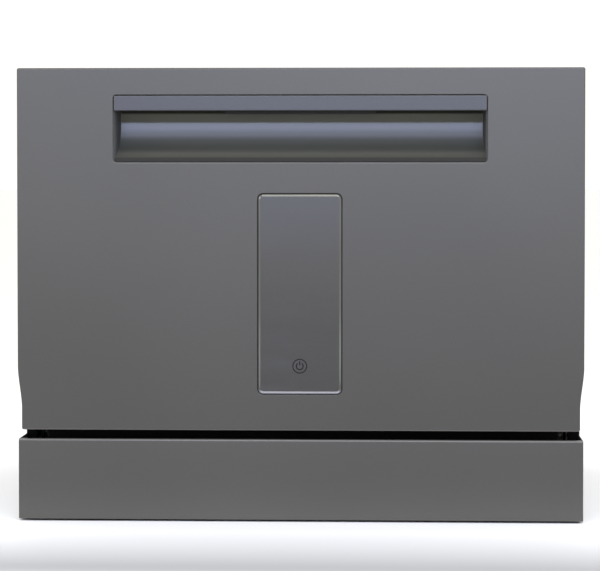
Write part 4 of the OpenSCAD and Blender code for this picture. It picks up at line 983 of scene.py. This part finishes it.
class DISHWASHER_OT_casing(bpy.types.Operator):
    """Casing: the folded sheet, whose sides step in at the foot beside the door's"""

    bl_idname = "dishwasher.casing"
    bl_label = "Casing"

    def execute(self, context):
        front = context.scene.dishwasher_front
        low = DOOR[0][2] + front.foot_low
        heights = low + np.linspace(0, front.foot_run, 9)
        start, end = 80.0, 200.0
        cuts = [(2, z) for z in heights] + [(1, y) for y in np.linspace(start, end, 4)]
        points, faces = merged_copy("outer_casing", cuts)
        x, y, z = points.T
        # The step is the door's, 2.5 mm at most, on the side walls alone, and fades out by a cosine towards the back
        step = 2.5 * (1 - (door_half(z, front) - door_half(low, front)) / (front.foot_step - front.reveal))
        fade = (1 + np.cos(math.pi * np.clip((y - start) / (end - start), 0, 1))) / 2
        side = np.clip((np.abs(x) - 255) / 8, 0, 1)
        points[:, 0] = x - np.sign(x) * step * fade * side
        piece = dressed("outer_casing", "folded_casing", [(points, faces)], face_out=False)
        ease(piece, 0.8)
        return {"FINISHED"}


class DISHWASHER_OT_gap_shade(bpy.types.Operator):
    """Black matt sheets on the casing's folded front edges, behind the gap under the door: painted shade, so that the
    gap reads black
    """

    bl_idname = "dishwasher.tape"
    bl_label = "Gap shade"

    def execute(self, context):
        front, inner, outer = CASING[0][1], CASING[1][0] - 13.0, CASING[1][0] - 3.2
        low, high = DOOR[0][2] - 14, DOOR[0][2] + 20
        shells = [plate(rounded_rect((left, low), (right, high), 1.0, 4), front - 0.6, front + 0.05, ease=0.15)
                  for left, right in ((inner, outer), (-outer, -inner))]
        make_piece("painted_gap_shade", "cabinet", "seal_rubber", shells, FINISHES["foam"])
        return {"FINISHED"}


def louvre_hoods():
    """Nine hoods: across its height each is a quarter ellipse, 2.6 mm proud, that tapers to both ends."""
    face, half, pitch = node_box("rear_panel")[1][1] - 2.0, 82.0, 12.0
    x = np.linspace(-half, half, 33)
    a = arc(0, 90, 7)
    taper = np.sqrt(np.clip(1 - (np.abs(x) / (half + 0.5)) ** 8, 0, 1))[:, None]
    out = np.concatenate([2.6 * np.sin(a), 1.9 * np.sin(a[::-1])])
    drop = np.concatenate([6.0 * (1 - np.cos(a)), 5.6 * (1 - np.cos(a[::-1])) + 0.4])
    across = np.repeat(x[:, None], len(out), 1)
    y = face - 0.1 + taper * out
    tops = CASING[1][2] - 67.8 - pitch * np.arange(9)
    shells = [loft(np.stack([across, y, top - 0.2 - taper * drop], axis=-1)) for top in tops]
    make_piece("louvre_hoods", "cabinet", "zinc_steel", shells, angle=40)


def screw_heads():
    """Pan heads with a cross recess: a flattened dome, sunk by 1 mm where the driver's cross lies."""
    lo, hi = node_box("casing_screws")
    dome = arc(85, 4, 12)
    rows = np.concatenate([[4.0, 4.0], 4.0 * np.sin(dome)])[:, None]
    lift = np.concatenate([[0.0, 0.7], 0.7 + 1.5 * np.cos(dome)])[:, None]
    turn = full_turn(48)
    x, z = rows * np.cos(turn), rows * np.sin(turn)
    cross = np.clip(1.6 - 2.2 * np.minimum(np.abs(x), np.abs(z)), 0, 1) * np.clip(3.0 - rows, 0, 1)
    y = hi[1] - 2.2 + lift - cross
    heads = [loft(np.stack([middle_x - x, y, middle_z + z], axis=-1))
             for middle_x in (lo[0] + 4, -90, 90, hi[0] - 4) for middle_z in (lo[2] + 4, hi[2] - 4)]
    dressed("casing_screws", "screw_heads", heads, angle=35)


def inlet():
    """Inlet: a collar, then a thread of 1.8 mm pitch as round crests along the spout."""
    lo, hi = node_box("inlet_valve")
    at = np.array([(lo[0] + hi[0]) / 2, 0, lo[2] + 17])
    back = hi[1] - 18
    along = np.linspace(0, 13, 92)
    crest = 12.7 + 0.5 * np.cos(TAU * along / 1.8)
    outer = [(17 - 0.6, back), (17, back + 0.6), (17, back + 3.4), (16.4, back + 4), (12.3, back + 4)]
    thread = [(r, back + 4.4 + h) for r, h in zip(crest, along)]
    mouth = [(12.2, back + 17.9), (9.4, back + 18), (9, back + 17.6), (9, back - 18)]
    root = [(9, back - 18.2), (13, back - 17.5), (17, back - 18), (17, back - 3.2), (12.9, back - 3.1)]
    spout = revolve(root + outer + thread + mouth, at, "y", 64)
    neck = [(4, 0), (8.4, 0), (9, 0.6), (9, 33), (8.4, 33.6), (5, 34)]
    neck = revolve(neck, (at[0], back - 12, at[2]), "z", 40)
    dressed("inlet_valve", "inlet_thread", [spout, neck], angle=28)


def spigot():
    """Drain spigot: three sloping barbs hold the hose."""
    at, end = centre_of("drain_spigot") * (1, 0, 1), node_box("drain_spigot")[1][1]
    barbs = [(8.6, end - 17)]
    for k in range(2):
        barbs += [(9.5, end - 13.6 + 4.6 * k), (9.35, end - 13.3 + 4.6 * k), (8.5, end - 13.1 + 4.6 * k)]
    barbs += [(9.4, end - 4.2), (8.9, end - 3.0), (7.9, end - 0.3), (7.4, end), (7.0, end - 0.4), (7.0, end - 31)]
    root = [(7.2, end - 32), (13.6, end - 32), (14, end - 31.6), (14, end - 23), (10.85, end - 22.9),
            (10.85, end - 20.1), (13.6, end - 20), (14, end - 19.6), (14, end - 17.5), (13.5, end - 17)]
    dressed("drain_spigot", "drain_barbs", [revolve(root + barbs, at, "y", 48)], angle=28)


def gland():
    """Gland of the mains lead: a domed nut with six flats."""
    at, end = centre_of("power_gland") * (1, 0, 1), node_box("power_gland")[1][1]

    def flats(a, r, h):
        hexagon = math.cos(math.pi / 6) / np.cos((a + math.pi / 6) % (math.pi / 3) - math.pi / 6)
        outside = (r > 8.6) & (h > end - 6.4)
        return np.where(outside, np.minimum(1.0, hexagon * 1.02), 1.0)

    nut = [(4.2, end - 16.5), (10.6, end - 16.5), (11, end - 16.1), (11, end - 10.6), (7.85, end - 10.5),
           (7.85, end - 8), (10.6, end - 8), (11, end - 7.6), (11, end - 6.6), (10.4, end - 6.3), (10.4, end - 3),
           (9.8, end - 1.4), (8.2, end - 0.3), (6.4, end), (4.4, end), (4.0, end - 0.4), (4.0, end - 16)]
    dressed("power_gland", "gland_nut", [revolve(nut, at, "y", 72, ripple=flats)], angle=28)


class DISHWASHER_OT_rear(bpy.types.Operator):
    """Back of the machine: louvre hoods, screw heads, the threaded inlet, the ribbed spigot and the gland"""

    bl_idname = "dishwasher.rear"
    bl_label = "Back"

    def execute(self, context):
        for build in (louvre_hoods, screw_heads, inlet, spigot, gland):
            build()
        return {"FINISHED"}


class DISHWASHER_OT_feet(bpy.types.Operator):
    """Screw feet: a ribbed rubber pad under a threaded stem"""

    bl_idname = "dishwasher.feet"
    bl_label = "Feet"

    def execute(self, context):
        for node in ("foot_front_left", "foot_front_right", "foot_rear_left", "foot_rear_right"):
            lo, hi = node_box(node)
            height, r, pad = hi[2], (hi[0] - lo[0]) / 2, FOOT_PAD
            # The stem's thread: round crests of 1.5 mm pitch, 0.35 mm deep
            along = np.linspace(0, 1, 60)
            stem = STEM - 0.35 * wave(TAU * along * (height - pad - 1.5) / 1.5)
            profile = [(2.0, 0.4), (r - 4.5, 0.4), (r - 4.0, 0.0), (r - 0.8, 0.0), (r, 0.8), (r, 2.6),
                       (r - 0.6, 3.4), (r - 0.6, pad - 0.9), (r - 1.4, pad), (STEM + 1, pad)]
            profile += [(x, pad + 0.4 + h * (height - pad - 1.0)) for x, h in zip(stem, along)]
            profile += [(STEM - 1.4, height)]

            def ribs(a, radius, h):
                rim = (h > 2.7) & (h < pad - 0.5) & (radius > r - 2)
                return 1 - 0.035 * wave(24 * a) ** 2 * rim

            shell = revolve(profile, centre_of(node) * (1, 1, 0), "z", 96, ripple=ribs)
            dressed(node, "ribbed_" + node, [shell], angle=30)
        return {"FINISHED"}


class DISHWASHER_OT_rack(bpy.types.Operator):
    """Rack of bent and welded wires: baskets of wire, rims, tines, wheel brackets and axles"""

    bl_idname = "dishwasher.rack"
    bl_label = "Rack"

    def execute(self, context):
        sizes = context.scene.dishwasher_rack
        wire, rim, bend = sizes.wire, sizes.rim, sizes.bend
        half, back, top = RIMS[1] - rim
        front = node_box("rack_front")[0][1] + rim
        floor_z, cross_z = RACK_FLOOR[1][2] - wire, RACK_FLOOR[0][2] + wire
        middle = floor_z + 46

        def bent_wire(corners, reference):
            return tube(fine_path(bent_path(corners, bend, 9), 60), wire, reference=reference)

        # Wires that run from rim to rim: down, round a quarter bend, along the floor and up again
        first = half - bend - 4
        shells = [bent_wire([(x, front, top), (x, front, floor_z), (x, back, floor_z), (x, back, top)], (1, 0, 0))
                  for x in np.linspace(-1, 1, 9) * first]
        ys = front + bend + 8 + np.arange(7) * (back - front - 2 * bend - 16) / 6
        shells += [bent_wire([(-half, y, top), (-half, y, cross_z), (half, y, cross_z), (half, y, top)], (0, 1, 0))
                   for y in ys]
        for z in (middle, top):
            loop = [(-half, front, z), (half, front, z), (half, back, z), (-half, back, z)]
            path = bent_path(loop, sizes.corner, 11, closed=True)
            shells.append(tube(path, rim, 14, closed=True, reference=(0, 0, 1)))
        # Wheel brackets: strips bent from the lower rim down to the axle
        outer = node_box("rack_side_right")[1][0]
        for node in ("rack_wheel_front_right", "rack_wheel_rear_right"):
            y, z = centre_of(node)[1:]
            a = arc(180, 360, 17)
            foot = np.stack([y + 9 * np.cos(a), z + 3 + 9 * np.sin(a)], axis=-1)
            right = np.array([(9, -12), (11, -7.5), (18, -6), (20, -4), (20, 4), (18, 6)])
            shoulder = np.concatenate([right, right[::-1] * (-1, 1)]) + (y, middle)
            outline = np.concatenate([foot, shoulder])
            pin = [(0.4, half + 3.9), (3.0, half + 4), (3.0, outer - 1.6), (4.4, outer - 1.4),
                   (4.5, outer - 1.1), (4.2, outer - 0.3), (3.0, outer), (0.4, outer)]
            verts, faces = revolve(pin, (0, y, z), "x", 28)
            for side in (1, -1):
                low, high = sorted((side * (half + 1), side * (half + 5)))
                shells += [plate(outline, low, high, ease=0.7, axis="x"), (verts * (side, 1, 1), faces)]
        replaced = ("rack_floor", "rack_front", "rack_rear", "rack_side_left", "rack_side_right")
        make_piece("rack_wires", "rack", "coated_wire", shells, replaces=replaced, angle=40)
        # Tines: straight wires with round tips, welded to two cross wires
        tip = node_box("rack_tines")[1][2]
        pitch = first / 8
        tines = [tube([(x, y, cross_z + wire - 0.6), (x, y, tip - 1.7)], 1.6, reference=(1, 0, 0))
                 for x in pitch * (np.arange(TINES) + 0.5) - first for y in (ys[2], ys[4])]
        dressed("rack_tines", "rack_tine_rows", tines, angle=40)
        return {"FINISHED"}


class DISHWASHER_OT_shelf(bpy.types.Operator):
    """Cup shelf: a wire frame with two hinge sleeves"""

    bl_idname = "dishwasher.shelf"
    bl_label = "Cup shelf"

    def execute(self, context):
        lo, hi = node_box("cup_shelf")
        z, frame_wire, wire = (lo[2] + hi[2]) / 2, 2.4, 2.0
        hinge_x, far = -(RIMS[1][0] - 2.5), hi[0] - frame_wire
        near, y0, y1 = hinge_x + 10, lo[1] + frame_wire, hi[1] - frame_wire
        loop = bent_path([(near, y0, z), (far, y0, z), (far, y1, z), (near, y1, z)], 9, 8, closed=True)
        shells = [tube(loop, frame_wire, closed=True, reference=(0, 0, 1))]
        first, last = lo[1] + 8, hi[1] - 8
        for y in (first, last):
            shells.append(tube([(hinge_x + 6, y, z), (far - 1, y, z)], wire))
            sleeve = [(2.62, -4.6), (4.9, -5), (5.5, -4.4), (5.5, 4.4), (4.9, 5), (2.62, 4.6), (2.6, 4.4), (2.6, -4.4)]
            shells.append(revolve(sleeve, (hinge_x, y, z), "y", 36, open_middle=True))
        for y in np.linspace(first, last, 7)[1:-1]:
            shells.append(tube([(near, y, z), (far, y, z)], wire))
        dressed("cup_shelf", "cup_shelf_wires", shells, angle=40)
        return {"FINISHED"}


class DISHWASHER_OT_spray(bpy.types.Operator):
    """Spray arm: two domed blades on a round hub, with nozzles along them"""

    bl_idname = "dishwasher.spray"
    bl_label = "Spray arm"

    def execute(self, context):
        lo, hi = node_box("spray_arm")
        cx, cy = (lo + hi)[:2] / 2
        top = hi[2] - 1.0
        low = top - 10
        reach, point, sides = 165.0, 13.0, 40
        turn = math.radians(12)
        ahead, aside = np.array([math.cos(turn), math.sin(turn)]), np.array([-math.sin(turn), math.cos(turn)])
        # Blade: at a distance s from the hub its section is a flat-bottomed superellipse whose width
        # runs from 40 to 26 mm and which closes on a half circle at the tip
        body = reach - point
        s = np.concatenate([np.linspace(0, body, 24), body + point * np.sin(arc(12, 88, 9))])
        width = 20 - 7 * np.clip(s / body, 0, 1)
        width = width * np.sqrt(np.clip(1 - ((s - body).clip(0) / point) ** 2, 0.0004, 1))
        ca, sa = np.cos(full_turn(sides)), np.sin(full_turn(sides))
        across = np.sign(ca) * np.abs(ca) ** 0.7
        up = np.where(sa > 0, np.sign(sa) * np.abs(sa) ** 0.85 * 6.4, sa * 3.6)
        shells = []
        for side in (1, -1):
            along = np.repeat(side * s[:, None], sides, 1)
            wide = width[:, None] * across
            shrink = 1 - 0.45 * ((s - reach + 2 * point).clip(0) / (2 * point)) ** 2
            high = low + 3.6 + shrink[:, None] * up
            x = cx + along * ahead[0] + wide * aside[0]
            y = cy + along * ahead[1] + wide * aside[1]
            shells.append(loft(np.stack([x, y, high], axis=-1)))
            for i in range(6):
                off = 3.0 * side * (1 if i % 2 == 0 else -1)
                at = (cx, cy) + side * (reach - 24 - 20 * i) * ahead + off * aside
                nozzle = [(3.6, -2), (3.2, 0.3), (2.4, 0.75), (1.5, 0.8), (1.1, 0.2), (0.9, -1.6)]
                shells.append(revolve(nozzle, (*at, top - 0.1 - 0.5 * (i == 0)), "z", 20))
        hub = [(12.3, lo[2]), (21.2, lo[2]), (22, lo[2] + 0.8), (22, low + 8), (20, low + 10.2), (15, top + 0.7),
               (8, top + 0.95), (1.0, top + 1.0), (1.0, low + 8.9), (12.0, low + 8.8), (12.15, low + 8.4)]
        shells.append(revolve(hub, (cx, cy, 0), "z", 64, open_middle=True))
        dressed("spray_arm", "spray_blades", shells, angle=38)
        return {"FINISHED"}


def rounded_bar(centre, half, r):
    """A sphere pulled apart along its axes: a bar with rounded edges and corners of radius r."""
    polar, turn = np.meshgrid(arc(-88, 88, 13), full_turn(32) + TAU / 64, indexing="ij")
    ball = np.stack([np.cos(polar) * np.cos(turn), np.cos(polar) * np.sin(turn), np.sin(polar)], axis=-1)
    core = np.asarray(half, dtype=float) - r
    return loft(np.asarray(centre) + ball * r + np.sign(np.round(ball, 6)) * core)


def salt_cap():
    """Salt cap: a knurled skirt over a plug, with a bar to turn it by."""
    lo, hi = node_box("salt_cap")
    middle, base, r, floor = centre_of("salt_cap") * (1, 1, 0), lo[2], (hi[0] - lo[0]) / 2, TUB_FLOOR

    def knurl(a, radius, h):
        skirt = (radius > r - 1.2) & (h > floor + 3) & (h < floor + 11.6)
        return 1 - 0.03 * wave(36 * a) ** 2 * skirt

    cap = [(2, base), (17.2, base), (17.85, base + 0.7), (17.85, floor + 7.2), (22.4, floor + 7.3),
           (22.4, floor + 2.6), (26.2, floor + 2.5), (r, floor + 3.3), (r, floor + 11.4),
           (r - 1.5, floor + 12.9), (r - 6, floor + 13), (2, floor + 13)]
    grip = rounded_bar(middle + (0, 0, floor + 15.6), (20, 3, 3.4), 1.2)
    dressed("salt_cap", "knurled_salt_cap", [revolve(cap, middle, "z", 144, ripple=knurl), grip], angle=30)


def float_bell():
    """Float: a bell with a rounded crown on a stem."""
    lo, hi = node_box("float_dome")
    middle, root, low, crown = centre_of("float_dome") * (1, 1, 0), lo[2], lo[2] + 10.3, hi[2]
    bell = [(13, low), (15.4, low), (16, low + 0.6), (16, crown - 4.5), (15.4, crown - 2.4), (13.6, crown - 0.8),
            (10.5, crown), (2, crown), (2, crown - 3), (12.4, crown - 3.2), (13, crown - 4)]
    stem = [(1, root), (2.5, root), (3, root + 0.5), (3, crown - 2), (1, crown - 2)]
    shells = [revolve(bell, middle, "z", 56, open_middle=True), revolve(stem, middle, "z", 24)]
    dressed("float_dome", "float_bell", shells, angle=32)


def rinse_cap():
    """Rinse-aid cap: a fluted knob with a bar across it."""
    lo, hi = node_box("rinse_cap")
    middle, front, back, r = centre_of("rinse_cap") * (1, 0, 1), hi[1], lo[1], (hi[2] - lo[2]) / 2

    def flutes(a, radius, h):
        return 1 - 0.035 * wave(24 * a) * (radius > r - 1.4)

    knob = [(1, back), (9.4, back), (9.85, back + 0.5), (9.85, front - 6.8), (r - 0.5, front - 6.8),
            (r, front - 6.3), (r, front - 3.9), (r - 1.0, front - 3.1), (1, front - 3.0)]
    bar = rounded_bar(middle + (0, front - 1.8, 0), (12, 1.8, 2), 0.7)
    dressed("rinse_cap", "fluted_rinse_cap", [revolve(knob, middle, "y", 96, ripple=flutes), bar], angle=30)


class DISHWASHER_OT_fittings(bpy.types.Operator):
    """Small turned parts in the tub and the door: salt cap, float dome and rinse-aid cap"""

    bl_idname = "dishwasher.fittings"
    bl_label = "Fittings"

    def execute(self, context):
        for build in (salt_cap, float_bell, rinse_cap):
            build()
        return {"FINISHED"}


class DISHWASHER_OT_gasket(bpy.types.Operator):
    """Door seal: a bulb and a lip swept round the mouth of the tub"""

    bl_idname = "dishwasher.gasket"
    bl_label = "Door seal"

    def execute(self, context):
        lo, hi = node_box("door_gasket")
        width = hi[0] - SEAL_INSIDE
        middle = SEAL_INSIDE + width / 2
        roof = hi[2] - width / 2
        corners = [(-middle, 0, lo[2]), (-middle, 0, roof), (middle, 0, roof), (middle, 0, lo[2])]
        path = fine_path(bent_path(corners, 30 + width / 2, 13), 30)
        ahead = unit(np.gradient(path, axis=0))
        out = np.stack([-ahead[:, 2], 0 * ahead[:, 0], ahead[:, 0]], axis=-1)
        depth, h = hi[1] - lo[1], width / 2
        # Section as (share outwards, share forwards): a round bulb in front and a flat root behind
        a = arc(-20, 200, 15)
        bulb = np.stack([0.74 * np.cos(a) - 0.1, 0.48 + 0.5 * np.sin(a)], axis=-1)
        section = np.concatenate([[(0.98, 0.02), (0.98, 0.2), (0.74, 0.26)], bulb,
                                  [(-0.92, 0.26), (-0.98, 0.2), (-0.98, 0.02)]])
        loops = path[:, None] + (out * h)[:, None] * section[None, :, :1]
        loops[..., 1] = hi[1] - depth * np.clip(section[None, :, 1], 0.01, 0.99)
        dressed("door_gasket", "seal_bulb", [loft(loops)], angle=50)
        return {"FINISHED"}


# ---- Panel, registration and the run ----


class DISHWASHER_PT_pieces(bpy.types.Panel):
    """Lists the operators and the sizes and colours"""

    bl_idname = "DISHWASHER_PT_pieces"
    bl_label = "Dishwasher"
    bl_space_type = "VIEW_3D"
    bl_region_type = "UI"
    bl_category = "Dishwasher"

    def draw(self, context):
        for step in STEPS:
            self.layout.operator(step.bl_idname)
        for name in GROUPS:
            group = getattr(context.scene, name)
            box = self.layout.box()
            for key in group.bl_rna.properties.keys():
                if key not in ("rna_type", "name"):
                    box.prop(group, key)


GROUPS = {
    "dishwasher_studio": DISHWASHER_PG_studio,
    "dishwasher_front": DISHWASHER_PG_front,
    "dishwasher_rack": DISHWASHER_PG_rack,
    "dishwasher_colours": DISHWASHER_PG_colours,
}
# The operators in the order in which they run
STEPS = (
    DISHWASHER_OT_studio, DISHWASHER_OT_finishes, DISHWASHER_OT_door, DISHWASHER_OT_liner,
    DISHWASHER_OT_handle, DISHWASHER_OT_glass, DISHWASHER_OT_eased, DISHWASHER_OT_casing,
    DISHWASHER_OT_gap_shade, DISHWASHER_OT_rear, DISHWASHER_OT_feet, DISHWASHER_OT_rack,
    DISHWASHER_OT_shelf, DISHWASHER_OT_spray, DISHWASHER_OT_fittings, DISHWASHER_OT_gasket,
)
CLASSES = (*GROUPS.values(), *STEPS, DISHWASHER_PT_pieces)


def register():
    """Register the classes and hang the groups of values on the scene."""
    for cls in CLASSES:
        bpy.utils.register_class(cls)
    for name, group in GROUPS.items():
        setattr(bpy.types.Scene, name, PointerProperty(type=group))


def unregister():
    """Undo what register did."""
    for name in GROUPS:
        delattr(bpy.types.Scene, name)
    for cls in reversed(CLASSES):
        bpy.utils.unregister_class(cls)


def main():
    register()
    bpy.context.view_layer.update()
    for step in STEPS:
        getattr(bpy.ops.dishwasher, step.bl_idname.split(".")[1])()


if __name__ == "__main__":
    main()
